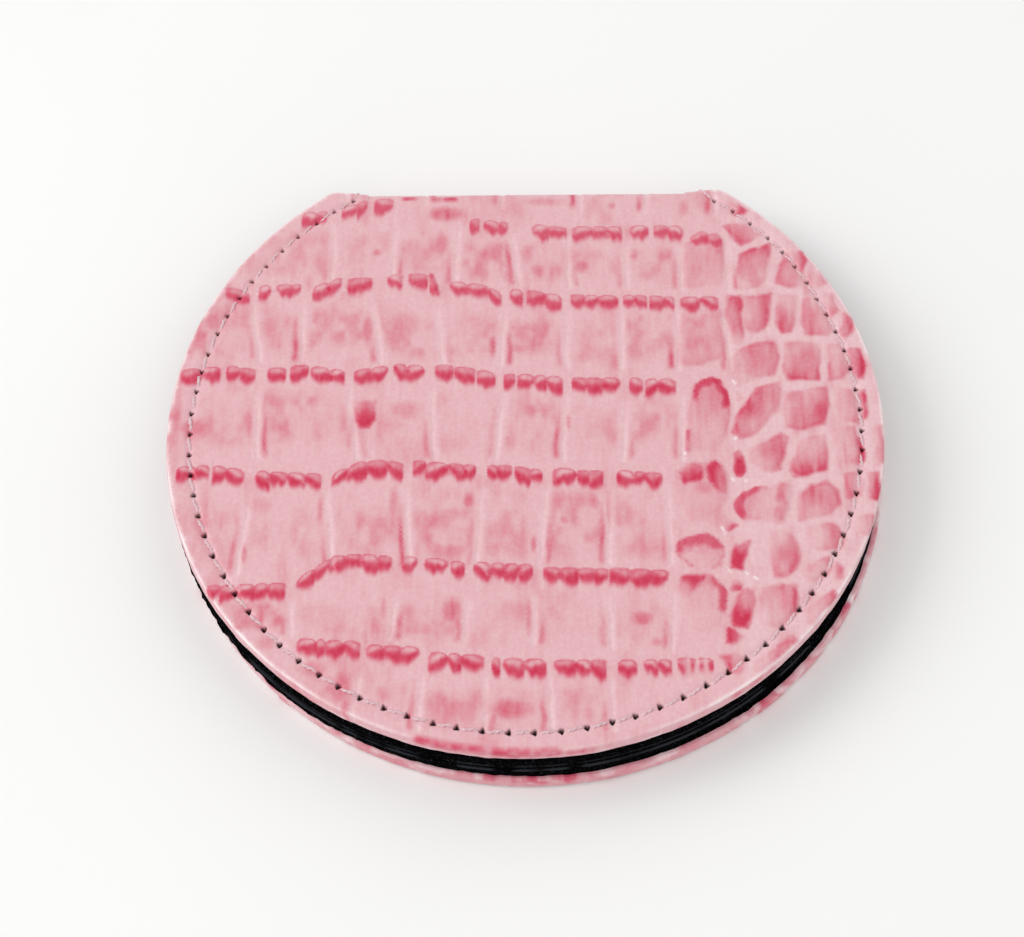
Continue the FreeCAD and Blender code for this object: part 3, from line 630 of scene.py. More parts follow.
def add_cell(hide, points, strength, bearing):
    """A raised many-sided cell of the flank, smeared with the darker colour towards one side."""
    corners = np.array(points)
    low, high = corners.min(0), corners.max(0)
    at = hide.around(corners, CELL_REACH)
    x, v = hide.x[at], hide.v[at]
    out = cell_gap(corners, x, v)
    inside = 1 - ramp(-0.32, 0.18, out)
    turn = math.radians(bearing)
    from_middle = (np.stack([x, v], 1) - (low + high) / 2) / ((high - low) / 2)
    side = ramp(-0.7, 0.9, from_middle @ np.array([math.cos(turn), math.sin(turn)]))
    streak = noise(x * 2.4, v * 0.55, 19)
    cloud = noise(x * 0.7, v * 0.6, 23)
    rim = bell(out + 0.3, 0.2) * (0.2 + 0.8 * side)
    tint = 0.12 + 0.4 * streak * cloud + 0.24 * cloud
    tint = tint + 0.86 * side * (0.35 + 0.65 * streak) + 0.26 * rim
    hide.darken(at, inside * np.clip(strength * tint, 0, 1))
    hide.rise[at] += CELL_RISE * (1 - ramp(-0.7, 0.1, out))


def add_smear(hide, x, v, half_wide, half_tall, strength):
    """A soft smear of the darker colour."""
    at = hide.near(x - 2.2 * half_wide, x + 2.2 * half_wide, v - 2 * half_tall, v + 2 * half_tall)
    size = np.hypot((hide.x[at] - x) / half_wide, (hide.v[at] - v) / half_tall)
    streak = noise(hide.x[at] * 2.8, hide.v[at] * 0.5, 29)
    hide.darken(at, strength * (0.6 + 0.6 * streak) * (1 - ramp(0.35, 1.35, size)))


def rows_beyond(rng):
    """Bead lines and bands of folds, row by row, for the spine and the base."""
    lines, bands = [], []
    row = ROWS_FIRST
    while row < ROWS_LAST:
        folds = []
        x = ROWS_LEFT + rng.uniform(0, 3)
        tilt = rng.uniform(-0.06, 0.02)
        while x < ROWS_RIGHT - 1.4:
            wide = min(rng.uniform(*SCALE_WIDE), ROWS_RIGHT - x)
            bow = rng.uniform(-0.3, 0.5)
            v = row + tilt * x
            if wide > 1.2:
                end = (x + wide, v + rng.uniform(-0.3, 0.3))
                lines.append(((x, v), (x + wide / 2, v + bow), end))
            end = (x + wide + rng.uniform(-0.2, 0.9), v - 10.2)
            folds.append(((x + wide + 0.5, v - 1.6), end))
            x += wide + SCALE_GAP
        bands.append(folds)
        row += rng.uniform(*ROW_PITCH)
    return lines, bands


def flank_beyond(rng):
    """Cells between the shifted corners of a net, for the flank of the spine and the base."""
    columns = np.arange(CELLS_LEFT, CELLS_RIGHT, CELL_WIDE)
    rows = np.arange(CELLS_FIRST, CELLS_LAST, CELL_TALL)
    shape = (len(rows), len(columns))
    x = columns + rng.uniform(-0.6, 0.6, shape)
    v = rows[:, None] + 0.25 * (columns - CELLS_LEFT) + rng.uniform(-0.7, 0.7, shape)
    cells = []
    for i in range(len(rows) - 1):
        for k in range(len(columns) - 1):
            ring = ((i, k), (i, k + 1), (i + 1, k + 1), (i + 1, k))
            corners = np.array([(x[place], v[place]) for place in ring])
            middle = corners.mean(0)
            strength, bearing = rng.uniform(0.35, 0.7), rng.uniform(0, 360)
            cells.append((middle + CELL_SHARE * (corners - middle), strength, bearing))
    return cells


def lid_folds():
    """Ends of the light folds on the lid, band by band, worked out from the layout above."""
    bands = []
    for left, right, places in FOLD_BANDS:
        folds = []
        for x_back, x_front in places:
            t_back = (x_back - BAND_LEFT) / (BAND_RIGHT - BAND_LEFT)
            t_front = (x_front - BAND_LEFT) / (BAND_RIGHT - BAND_LEFT)
            v_back = left[0] + (right[0] - left[0]) * t_back
            v_front = left[1] + (right[1] - left[1]) * t_front
            folds.append(((x_back, v_back - 1.2), (x_front, v_front + 0.15)))
        bands.append(folds)
    return bands


def bodies_between(bands):
    """Each two neighbouring folds of a band; the first body runs out to the left edge of the hide."""
    pairs = []
    for folds in bands:
        (_, v_back), (_, v_front) = folds[0]
        edge = ((HIDE_LEFT, v_back), (HIDE_LEFT, v_front))
        pairs += list(zip([edge] + folds[:-1], folds))
    return pairs


BASE_LINES, BASE_BANDS = rows_beyond(np.random.default_rng(43))
BASE_CELLS = flank_beyond(np.random.default_rng(47))
ALL_LINES = BEAD_LINES + tuple(BASE_LINES)
ALL_BANDS = lid_folds() + BASE_BANDS
ALL_FOLDS = sum(ALL_BANDS, [])
ALL_BODIES = bodies_between(ALL_BANDS)
ALL_CELLS = FLANK_CELLS + END_SCALES + tuple(BASE_CELLS)


def emboss(x, v):
    """The whole embossed pattern at points of the hide."""
    hide = Hide(x, v)
    rng = np.random.default_rng(41)
    for points in ALL_LINES:
        add_bead_line(hide, points, rng)
    for stroke in DARK_STROKES:
        add_stroke(hide, *stroke)
    for start, end in ALL_FOLDS:
        add_fold(hide, start, end, rng)
    for left, right in ALL_BODIES:
        add_body(hide, left, right, rng)
    for cell in ALL_CELLS:
        add_cell(hide, *cell)
    for crown in CROWNS:
        add_crown(hide, *crown)
    for smear in SMEARS:
        add_smear(hide, *smear)
    for cut in CUTS:
        add_cut(hide, *cut)
    for painted_glint in PAINTED_GLINTS:
        add_painted_glint(hide, painted_glint)
    add_background(hide)
    return hide


def add_background(hide):
    """Clouds and fine lengthwise streaks of the tipping, and the soft unevenness of the leather."""
    x, v = hide.x, hide.v
    cloud = 0.6 * noise(x / 2.1, v / 3.4, 31) + 0.4 * noise(x / 0.9, v / 1.6, 37)
    streak = noise(x / 0.3, v / 2.6, 53)
    veil = ramp(0.5, 0.9, cloud) * 0.2 * (0.4 + 0.9 * streak)
    hide.tip += veil * (1 - hide.tip) * (1 - hide.pale)
    hide.tip += 0.045 * (streak - 0.5)
    flank = ramp(20.2, 21.2, x)
    hide.pale = np.maximum(hide.pale, flank * 0.28 * (1 - ramp(0.1, 0.3, hide.tip)))
    hide.rise += SWELL * (noise(x / 3.1, v / 3.1, 59) - 0.5)
    hide.rise += PEBBLE * (noise(x / 0.8, v / 0.8, 61) - 0.5)


def sweep(points, normals, start, end, count):
    """Adds evenly spaced points of a straight run, without its end."""
    run = np.array(end, float) - np.array(start, float)
    normal = np.array([run[1], -run[0]]) / np.linalg.norm(run)
    for k in range(count):
        points.append(np.array(start, float) + run * k / count)
        normals.append(normal)


def arc_run(points, normals, centre, radius, start, end, count):
    """Adds evenly spaced points of an arc, without its end."""
    for k in range(count):
        angle = start + (end - start) * k / count
        out = np.array([math.cos(angle), math.sin(angle)])
        points.append(np.array(centre) + radius * out)
        normals.append(out)


class Outline:
    """Plan of one leaf: a circle cut straight at the fold, with an ear at each end of the spine."""

    def __init__(self, radius, ear_back, fold, corner, step):
        self.radius = radius
        self.ear_back = ear_back
        self.fold = fold
        self.corner = corner
        self.corner_y = ear_back - corner
        self.corner_x = math.sqrt((radius - corner) ** 2 - self.corner_y ** 2)
        self.turn = math.atan2(self.corner_y, self.corner_x)
        self.build(step)

    def build(self, step):
        """Points and outward directions: right half from front to notch, fold line, left half."""
        points, normals = [], []
        inner = EAR_INNER_ROUND
        side_y = self.ear_back - inner
        count = round(self.radius * (math.pi / 2 + self.turn) / step)
        arc_run(points, normals, (0, 0), self.radius, -math.pi / 2, self.turn, count)
        corner = (self.corner_x, self.corner_y)
        arc_run(points, normals, corner, self.corner, self.turn, math.pi / 2, 9)
        ear = (NOTCH_HALF + inner, self.ear_back)
        sweep(points, normals, (self.corner_x, self.ear_back), ear, 12)
        arc_run(points, normals, (ear[0], side_y), inner, math.pi / 2, math.pi, 8)
        sweep(points, normals, (NOTCH_HALF, side_y), (NOTCH_HALF, self.fold), 4)
        count = round(2 * NOTCH_HALF / step) + 1
        fold_x = np.linspace(NOTCH_HALF, -NOTCH_HALF, count)
        fold = np.stack([fold_x, np.full(count, self.fold)], 1)
        half, half_out = np.array(points), np.array(normals)
        flip = np.array([-1, 1])
        self.points = np.concatenate([half, fold, half[:0:-1] * flip])
        self.normals = np.concatenate([half_out, np.zeros((count, 2)), half_out[:0:-1] * flip])
        self.fold_part = np.zeros(len(self.points), bool)
        self.fold_part[len(half):len(half) + count] = True

    def inside(self, x, y):
        """Distance inwards from the rim, and the direction outwards there."""
        along_x = np.abs(x)
        far = np.maximum(np.hypot(x, y), TINY)
        gap = self.radius - far
        out = np.stack([x / far, y / far], 1)
        to_back = np.where(along_x > NOTCH_HALF - 0.01, self.ear_back - y, FAR)
        on_back = to_back < gap
        gap = np.where(on_back, to_back, gap)
        out[on_back] = (0, 1)
        from_x, from_y = along_x - self.corner_x, y - self.corner_y
        wedge = (from_y > 0) & (np.arctan2(from_y, from_x) > self.turn) & (from_x > 0)
        reach = np.maximum(np.hypot(from_x, from_y), TINY)
        gap = np.where(wedge, self.corner - reach, gap)
        out[wedge, 0] = (np.sign(x) * from_x / reach)[wedge]
        out[wedge, 1] = (from_y / reach)[wedge]
        return gap, out

    def notch_gap(self, x, y):
        """Distance from the side of the notch, for points of the ears."""
        return np.where(y > self.fold, np.abs(x) - NOTCH_HALF, FAR)

    def clear_points(self, net, rim, back, notch, hole):
        """Net points a distance away from the rim, the fold line, the notch and the needle holes."""
        x, y = net[:, 0], net[:, 1]
        gap, _ = self.inside(x, y)
        to_fold = np.where(np.abs(x) < NOTCH_HALF + 0.1, self.fold - y, FAR)
        keep = (gap > rim) & (to_fold > back) & (self.notch_gap(x, y) > notch)
        return net[keep & (hole_distance(x, y) > hole)]

    def rim_rings(self, insets):
        """Net points in rows along the rim, where a row doesn't run into another edge."""
        rings = []
        for inset in insets:
            ring = self.points - inset * self.normals
            gap, _ = self.inside(ring[:, 0], ring[:, 1])
            beside = self.notch_gap(ring[:, 0], ring[:, 1])
            good = (gap > 0.97 * inset) & (beside > 0.97 * inset) & ~self.fold_part
            rings.append(ring[good])
        return rings


COVER_PLAN = Outline(RADIUS, EAR_BACK, FOLD_START, EAR_ROUND, EDGE_STEP)
LINING_PLAN = Outline(LINING_RADIUS + LINING_PLUMP, LINING_EAR_BACK + LINING_PLUMP / 2, LINING_BACK,
                      LINING_EAR_ROUND, LINING_EDGE_STEP)


def hex_points(half, step):
    """Points of an even triangular net over a square."""
    rows = []
    for k, y in enumerate(np.arange(-half, half, step * math.sqrt(3) / 2)):
        x = np.arange(-half, half, step) + (step / 2 if k % 2 else 0)
        rows.append(np.stack([x, np.full(len(x), y)], 1))
    return np.concatenate(rows)


def seam_radius(angle):
    """Radius of the seam at angles from the front; it runs nearer the rim on the right ear."""
    return SEAM_RADIUS + SEAM_DRIFT * ramp(DRIFT_START, DRIFT_FULL, angle)


def seam_holes():
    """Places of the needle holes, from one ear round the front to the other."""
    rng = np.random.default_rng(67)
    angles = np.linspace(-SEAM_HALF, SEAM_HALF, STITCHES + 1)
    angles[1:-1] += rng.uniform(-0.004, 0.004, STITCHES - 1)
    angles -= RIGHT_SHORT * ramp(RIGHT_BACK, SEAM_HALF, angles)
    radius = seam_radius(angles) + rng.uniform(-0.05, 0.05, STITCHES + 1)
    return np.stack([radius * np.sin(angles), -radius * np.cos(angles)], 1)


HOLES = seam_holes()


def hole_rings():
    """Extra net points round each needle hole."""
    rings = [HOLES]
    for radius, count in HOLE_RINGS:
        for k in range(count):
            angle = 2 * math.pi * k / count
            rings.append(HOLES + radius * np.array([math.cos(angle), math.sin(angle)]))
    return np.concatenate(rings)


def hole_distance(x, y):
    """Distance to the nearest needle hole; holes are a bit three-cornered, and smaller at the back."""
    best = np.full(len(x), FAR)
    angle = np.arctan2(x, -y)
    index = np.rint((angle + SEAM_HALF) / (2 * SEAM_HALF) * STITCHES).astype(int)
    for shift in (-1, 0, 1):
        hole = HOLES[np.clip(index + shift, 0, STITCHES)]
        dx, dy = x - hole[:, 0], y - hole[:, 1]
        bearing = np.arctan2(dy, dx) + angle * 2
        best = np.minimum(best, np.hypot(dx, dy) * (1 + 0.25 * np.cos(3 * bearing)))
    return best * (1 + 0.4 * ramp(-22, 24, y))


def seam_sink(x, y):
    """Depth of the thread's groove and the needle holes in the surface, and how dark the holes are
    painted: shade in them, with the black thread seen through.
    """
    radius = np.hypot(x, y)
    angle = np.arctan2(x, -y)
    ends = 1 - ramp(SEAM_HALF - 0.01, SEAM_HALF + 0.03, np.abs(angle))
    groove = bell(radius - seam_radius(angle), GROOVE_HALF) * ends
    away = hole_distance(x, y)
    pull = bell(away, HOLE_PULL)
    pit = 1 - ramp(0.08, HOLE_RADIUS, away)
    # Painted shade in the needle holes, with the black bobbin thread seen through them; fainter
    # towards the back.
    dark = (1 - ramp(0.18, HOLE_RADIUS, away)) * (1 - 0.3 * ramp(0, 26, y))
    return GROOVE_DEPTH * groove * (0.75 + 0.25 * pull) + HOLE_DEPTH * pit, dark


def net_faces(loop, extra):
    """Triangles over the area inside a closed line of points, using the extra points too."""
    points = np.concatenate([loop, extra]) if len(extra) else loop
    places = [Vector((float(x), float(y))) for x, y in points]
    result = geometry.delaunay_2d_cdt(places, [], [list(range(len(loop)))], 1, 1e-7)
    source = [origin[0] for origin in result[3]]
    return points, [[source[i] for i in face] for face in result[2]]


def mesh_piece(name, points, faces, tints, materials, lined=None):
    """A closed smooth mesh from millimetre points, with tints at its points and some lined faces."""
    mesh = bpy.data.meshes.new(name)
    mesh.from_pydata((np.asarray(points) * MM).tolist(), [], faces)
    for label, values in tints.items():
        attribute = mesh.attributes.new(label, "FLOAT", "POINT")
        attribute.data.foreach_set("value", np.asarray(values, np.float32))
    mesh.polygons.foreach_set("use_smooth", np.ones(len(mesh.polygons), bool))
    for material in materials:
        mesh.materials.append(material)
    if lined is not None:
        mesh.polygons.foreach_set("material_index", np.asarray(lined, np.int32))
    mesh.update()
    turn_outwards(mesh)
    piece = bpy.data.objects.new(name, mesh)
    bpy.context.scene.collection.objects.link(piece)
    return piece


def turn_outwards(mesh):
    """Turns all faces of a closed mesh outwards."""
    work = bmesh.new()
    work.from_mesh(mesh)
    bmesh.ops.recalc_face_normals(work, faces=work.faces)
    work.to_mesh(mesh)
    work.free()


def join_rows(upper, lower, count):
    """Quads between two closed rows of points, given by their first points."""
    faces = []
    for k in range(count):
        after = (k + 1) % count
        faces.append((upper + after, upper + k, lower + k, lower + after))
    return faces


def band_faces(start, count, rows):
    """Quads between closed rows of points stored one row after another."""
    faces = []
    for row in range(rows):
        low = start + row * count
        faces += join_rows(low, low + count, count)
    return faces


class Leaf:
    """How a leaf's plan and depth are placed, and how far its rims are settled askew."""

    def __init__(self, name, body, upward, leather_set, lining_set):
        self.name = name
        self.body = body
        self.upward = upward
        self.leather_set = leather_set
        self.lining_set = lining_set

    def hide_v(self, y):
        """Where a plan place of this leaf lies on the flat hide."""
        return y if self.upward else 2 * FOLD_START + 2 * STRIP_RUN - y

    def outer(self, depth):
        """Height of a point a given depth under the leaf's outer face."""
        return HEIGHT - depth if self.upward else depth

    def inner(self, depth):
        """Height of a point a given depth under the leaf's inner face."""
        return LINING_LOW[2] + depth if self.upward else BASE_LINING_TOP - depth


def settle(places, askew, held, free, start, full):
    """Sets a rim a little askew: most at the front, nothing behind the start or in the held radius."""
    radius = np.hypot(places[:, 0], places[:, 1])
    share = ramp(start, full, places[:, 1]) * ramp(held, free, radius)
    places[:, :2] += share[:, None] * np.array(askew)
    return places


# The lid lies face up and the base face down.
LID = Leaf("lid", "lid_leaf", True,
           leather_set=dict(askew=(0, 0.2), held=34.2, free=35.6, start=-16, full=-32),
           lining_set=dict(askew=(-0.15, 0), held=27, free=34, start=0, full=-24))
BASE = Leaf("base", "base_leaf", False,
            leather_set=dict(askew=(0.52, -0.27), held=27, free=34, start=10, full=-24),
            lining_set=dict(askew=(-0.05, -0.02), held=27, free=34, start=10, full=-24))


def fine_zone(x, v):
    """True for points under a row of beads or a fold, which need a finer net."""
    zone = np.zeros(len(x), bool)
    for (x_back, v_back), (x_front, v_front) in ALL_FOLDS:
        t = (v_back - v) / (v_back - v_front)
        zone |= (t > 0) & (t < 1) & (np.abs(x - x_back - (x_front - x_back) * t) < 0.4)
    for points in ALL_LINES:
        line = np.array(points)
        low, high = line.min(0), line.max(0)
        zone |= (x > low[0] - 0.2) & (x < high[0] + 0.2) & (v > low[1] - 2.1) & (v < high[1] + 0.3)
    return zone


def flank_zone(x):
    """True for points of the flank, whose cells need a fairly fine net."""
    return x > FLANK_START


def leather_net(leaf):
    """Plan points and triangles of a cover's outer face, with a finer net under the relief."""
    coarse, fine, flank = (hex_points(RADIUS, step) for step in (PLAIN_STEP, BEAD_STEP, FLANK_STEP))
    coarse = coarse[~fine_zone(coarse[:, 0], leaf.hide_v(coarse[:, 1])) & ~flank_zone(coarse[:, 0])]
    fine = fine[fine_zone(fine[:, 0], leaf.hide_v(fine[:, 1])) & ~flank_zone(fine[:, 0])]
    net = np.concatenate([coarse, fine, flank[flank_zone(flank[:, 0])]])
    clear = COVER_PLAN.clear_points(net, rim=0.48, back=0.15, notch=0.32, hole=0.7)
    parts = [clear, hole_rings()] + COVER_PLAN.rim_rings(COVER_INSETS)
    return net_faces(COVER_PLAN.points, np.concatenate(parts))


def leather_depth(x, y):
    """Of the plain rounded cover: depth under its top, tilt, extra run of the hide, way outwards."""
    gap, out = COVER_PLAN.inside(x, y)
    beside_spine = 1 - ramp(NOTCH_HALF, NOTCH_HALF + 3, np.abs(x))
    rim = RIM_ROUND + EAR_SOFT * beside_spine * (y > COVER_PLAN.fold - 3)
    short = np.clip(rim - gap, 0, rim)
    tilt = np.arcsin(short / rim)
    depth = rim * (1 - np.cos(tilt))
    notch = np.clip(NOTCH_ROUND - COVER_PLAN.notch_gap(x, y), 0, NOTCH_ROUND)
    notch_depth = NOTCH_ROUND - np.sqrt(NOTCH_ROUND ** 2 - notch ** 2)
    return np.maximum(depth, notch_depth), tilt, rim * tilt - short, out


def rim_wear_and_painted_highlight(x, y):
    """How pale the rounded rim is: wear of the tipping and a painted highlight together, most at the
    sides, hardly at the front.
    """
    gap, _ = COVER_PLAN.inside(x, y)
    sides = 0.25 + 1.15 * ramp(8, 22, np.abs(x))
    patchy = 0.6 + 0.8 * noise(x / 2.6, y / 2.6, 109)
    return sides * patchy * within(0.0, 0.1, 0.2, 0.5, gap)


# Rows down a cover's side and under its edge: share of the cover's depth, and inset from the rim
SIDE_ROWS = ((0.16, 0), (0.32, 0), (0.48, 0), (0.62, 0), (0.75, 0.01), (0.86, 0.05), (0.94, 0.13),
             (1, 0.26), (1, 0.5))


def leather_skin(leaf, material, inner_material):
    """Embossed leather of one cover: face, rounded rim, side and turned edge, closed underneath."""
    flat, faces = leather_net(leaf)
    x, y = flat[:, 0], flat[:, 1]
    depth, tilt, extra, out = leather_depth(x, y)
    hide = emboss(x + out[:, 0] * extra, leaf.hide_v(y + out[:, 1] * extra))
    # Painted highlight and wear along the rim, less where the leather is tipped dark.
    rim_wear_and_highlight = rim_wear_and_painted_highlight(x, y) * (1 - 0.8 * ramp(0.1, 0.5, hide.tip))
    hide.pale = np.maximum(hide.pale, rim_wear_and_highlight)
    sink, pit = seam_sink(x, y)
    rise = np.minimum(hide.rise, RELIEF_TOP) - RELIEF_TOP - sink
    spread = out * (rise * np.sin(tilt))[:, None]
    face = np.stack([x + spread[:, 0], y + spread[:, 1], leaf.outer(depth - rise * np.cos(tilt))], 1)
    count = len(COVER_PLAN.points)
    side, side_hide = leather_side(leaf, depth[:count])
    first = len(face)
    last = first + len(side) - count
    side_faces = join_rows(first, 0, count) + band_faces(first, count, len(SIDE_ROWS) - 1)
    under_faces = [[last + i for i in corners] for corners in net_faces(COVER_PLAN.points, [])[1]]
    at_fold = COVER_PLAN.fold_part & np.roll(COVER_PLAN.fold_part, -1)
    lined = [np.zeros(len(faces)), np.tile(at_fold, len(SIDE_ROWS)), np.ones(len(under_faces))]
    tints = {
        "tip": np.concatenate([hide.tip, side_hide.tip]),
        "pale": np.concatenate([hide.pale, side_hide.pale]),
        "pit": np.concatenate([pit, np.zeros(len(side))]),
    }
    points = settle(np.concatenate([face, side]), **leaf.leather_set)
    piece = mesh_piece(leaf.name + "_leather_skin", points, faces + side_faces + under_faces, tints,
                       (material, inner_material), np.concatenate(lined))
    crease(piece, np.concatenate([COVER_PLAN.fold_part, np.zeros(len(points) - count, bool)]))
    dress(piece, leaf.body, "pink_leather", leaf.name + "_leather")


def leather_side(leaf, edge_depth):
    """Rows of points down the side of a cover and under its edge, with their part of the hide."""
    rim, out = COVER_PLAN.points, COVER_PLAN.normals
    count = len(rim)
    along = np.arange(count) * EDGE_STEP
    pucker = 0.6 * noise(along / 2.3, along * 0, 71) + 0.4 * noise(along / 0.9, along * 0, 113) - 0.5
    pucker = (0.16 if leaf.upward else 0.3) * pucker
    rows, unrolled = [], []
    for share, inset in SIDE_ROWS:
        depth = edge_depth + (COVER - edge_depth) * share
        wave = pucker * share * (1 - inset)
        place = rim - out * (inset + RELIEF_TOP * 0.6 + wave)[:, None]
        rows.append(np.stack([place[:, 0], place[:, 1], leaf.outer(depth)], 1))
        run = RIM_ROUND * (math.pi / 2 - 1) + (depth - edge_depth)
        unrolled.append(rim + out * run[:, None])
    flat = np.concatenate(unrolled)
    hide = emboss(flat[:, 0], leaf.hide_v(flat[:, 1]))
    low = np.repeat([share for share, _ in SIDE_ROWS], count)
    # Painted white highlights in patches on the lower rows of the side and turned edge, where the
    # puckers catch the light.
    patchy = noise(np.tile(along, len(SIDE_ROWS)) / 1.3, low * 2, 127)
    hide.pale = np.maximum(hide.pale, 1.2 * ramp(0.62, 0.8, patchy) * ramp(0.3, 0.8, low))
    # Painted shade and light on the sides: the side walls are tinted darker, the base's front is
    # darker still as painted shadow under the lid, and the base's sides further round are painted
    # paler.
    if leaf.upward:
        hide.tip += 0.1
    else:
        front = 1 - ramp(8, 24, np.abs(np.tile(rim[:, 0], len(SIDE_ROWS))))
        hide.tip = hide.tip * (1 - 0.4 * front) + 0.1 + 0.18 * front
        hide.pale += 0.45 - 0.35 * front
    side = np.concatenate(rows)
    rise = 0.8 * np.minimum(hide.rise, SIDE_RELIEF_TOP)
    side[:, :2] += np.tile(out, (len(SIDE_ROWS), 1)) * rise[:, None]
    return side, hide


def crease(piece, chosen):
    """Keeps the shading of faces apart along edges between the chosen points."""
    mesh = piece.data
    ends = np.zeros(len(mesh.edges) * 2, np.int32)
    mesh.edges.foreach_get("vertices", ends)
    both = chosen[ends].reshape(-1, 2).all(1)
    label = "sharp_edge"
    attribute = mesh.attributes.get(label) or mesh.attributes.new(label, "BOOLEAN", "EDGE")
    attribute.data.foreach_set("value", both)


def dress(piece, body, slot, *nodes):
    """Puts a piece on what it rides on and hides the CAD nodes it stands for; the slot is not used."""
    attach(piece, body)
    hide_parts(*nodes)


def strip_section():
    """Section of the spine strip from a fold line to mid height: y, depth, outward y and up, run."""
    rows = []
    for angle in np.linspace(0, math.pi / 2, 11):
        out, up = math.sin(angle), math.cos(angle)
        y, depth = FOLD_START + BEND_ROUND * out, BEND_ROUND * (1 - up)
        rows.append((y, depth, out, up, BEND_ROUND * angle))
    for further in np.linspace(0, HEIGHT / 2 - BEND_ROUND, 13)[1:]:
        rows.append((SPINE_BACK, BEND_ROUND + further, 1.0, 0.0, BEND_ROUND * math.pi / 2 + further))
    return np.array(rows)


def spine_strip(leaf, name, material, inner_material):
    """Half of the spine's leather, from a cover's fold line to mid height, lined on its inner side."""
    section = strip_section()
    xs = np.linspace(-STRIP_HALF, STRIP_HALF, round(2 * STRIP_HALF / BEAD_STEP) + 1)
    columns, rows = len(xs), len(section)
    x = np.tile(xs, rows)
    y, depth, out_y, out_up, run = np.repeat(section, columns, 0).T
    fuller = STRIP_FILL * (y - FOLD_START) / BEND_ROUND
    hide = emboss(x, FOLD_START + run if leaf.upward else FOLD_START + 2 * STRIP_RUN - run)
    rise = np.minimum(hide.rise, RELIEF_TOP) - RELIEF_TOP
    outer = np.stack([x, y + fuller + out_y * rise, leaf.outer(depth - out_up * rise)], 1)
    inner = np.stack([x, y - out_y * STRIP_THICK, leaf.outer(depth + out_up * STRIP_THICK)], 1)
    edges = border(columns, rows)
    side = grid_faces(columns, rows, 0)
    faces = side + grid_faces(columns, rows, len(x))
    faces += [(a, b, b + len(x), a + len(x)) for a, b in edges]
    lined = np.zeros(len(faces))
    lined[len(side):2 * len(side)] = 1
    tints = {"tip": np.tile(hide.tip, 2), "pale": np.tile(hide.pale, 2), "pit": np.zeros(2 * len(x))}
    points = np.concatenate([outer, inner])
    piece = mesh_piece(name, points, faces, tints, (material, inner_material), lined)
    on_border = np.zeros(2 * len(x), bool)
    on_border[[a for a, _ in edges]] = True
    crease(piece, on_border)
    start = (0, FOLD_START * MM, leaf.outer(0) * MM)
    end = (0, SPINE_BACK * MM, leaf.outer(BEND_ROUND) * MM)
    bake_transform(piece)
    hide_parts("spine_leather")


def spine_lining_skin(material):
    """Black leatherette on the inner side of the spine, its long edges rounded off under the folds."""
    inset = SPINE_LINING_ROUND
    front = SPINE_LINING_LOW[1] + inset
    back = SPINE_LINING_LOW[1] + SPINE_LINING_THICK - inset
    low, high = SPINE_LINING_MARGIN + inset, HEIGHT - SPINE_LINING_MARGIN - inset
    section = []
    for y, z, first in ((back, low, 270), (back, high, 0), (front, high, 90), (front, low, 180)):
        for angle in np.radians(np.linspace(first, first + 90, 5)):
            section.append((y + inset * math.cos(angle), z + inset * math.sin(angle)))
    xs = np.linspace(0.05 - STRIP_HALF, STRIP_HALF - 0.05, 68)
    points = [(x, y, z) for x in xs for y, z in section]
    count = len(section)
    faces = band_faces(0, count, len(xs) - 1)
    faces += [tuple(range(count)), tuple(range(len(points) - count, len(points)))]
    tints = {"pit": np.zeros(len(points))}
    piece = mesh_piece("spine_lining_skin", points, faces, tints, (material,))
    dress(piece, "spine", "black_lining", "spine_lining")


def grid_faces(columns, rows, start):
    """Quads of a grid of points."""
    faces = []
    for row in range(rows - 1):
        for k in range(columns - 1):
            low = start + row * columns + k
            faces.append((low, low + 1, low + columns + 1, low + columns))
    return faces


def border(columns, rows):
    """Edges round a grid of points, in order."""
    ring = list(range(columns))
    ring += [row * columns + columns - 1 for row in range(1, rows)]
    ring += [(rows - 1) * columns + k for k in range(columns - 2, -1, -1)]
    ring += [row * columns for row in range(rows - 2, 0, -1)]
    return list(zip(ring, ring[1:] + ring[:1]))


# Rows down a lining's edge and round its window: share of the depth, and inset
EDGE_ROWS = ((0.12, -0.02), (0.26, -0.05), (0.4, -0.06), (0.54, -0.06), (0.68, -0.05), (0.8, -0.02),
             (0.9, 0.05), (0.97, 0.16), (1, 0.3), (1, 0.9))
WINDOW_ROWS = ((0.04, 0.02), (0.12, 0.06), (0.26, 0.1), (0.6, 0.12), (1, 0.12), (1, -0.3))


def window_loop():
    """Points round the opening over the glass, and their outward directions."""
    count = round(2 * math.pi * WINDOW_RADIUS / WINDOW_STEP)
    angle = 2 * math.pi * np.arange(count) / count
    out = np.stack([np.cos(angle), np.sin(angle)], 1)
    return out * WINDOW_EDGE + np.array([0, -GLASS_FORWARD]), out


def from_glass(places):
    """Distances from the middle of the glass."""
    return np.hypot(places[:, 0], places[:, 1] + GLASS_FORWARD)


def lining_net(window):
    """Plan points and triangles of a lining's inner face, open over the glass; first window point."""
    net = hex_points(LINING_PLAN.radius, LINING_STEP)
    net = net[from_glass(net) > WINDOW_EDGE + 0.3]
    clear = LINING_PLAN.clear_points(net, rim=0.6, back=0.25, notch=0.3, hole=0.8)
    parts = [clear, hole_rings(), window] + LINING_PLAN.rim_rings(LINING_INSETS)
    plan, faces = net_faces(LINING_PLAN.points, np.concatenate(parts))
    outside = from_glass(plan[np.array(faces)].mean(1)) > WINDOW_RADIUS + 0.1
    window_start = len(LINING_PLAN.points) + len(parts[0]) + len(parts[1])
    return plan, [face for face, keep in zip(faces, outside) if keep], window_start


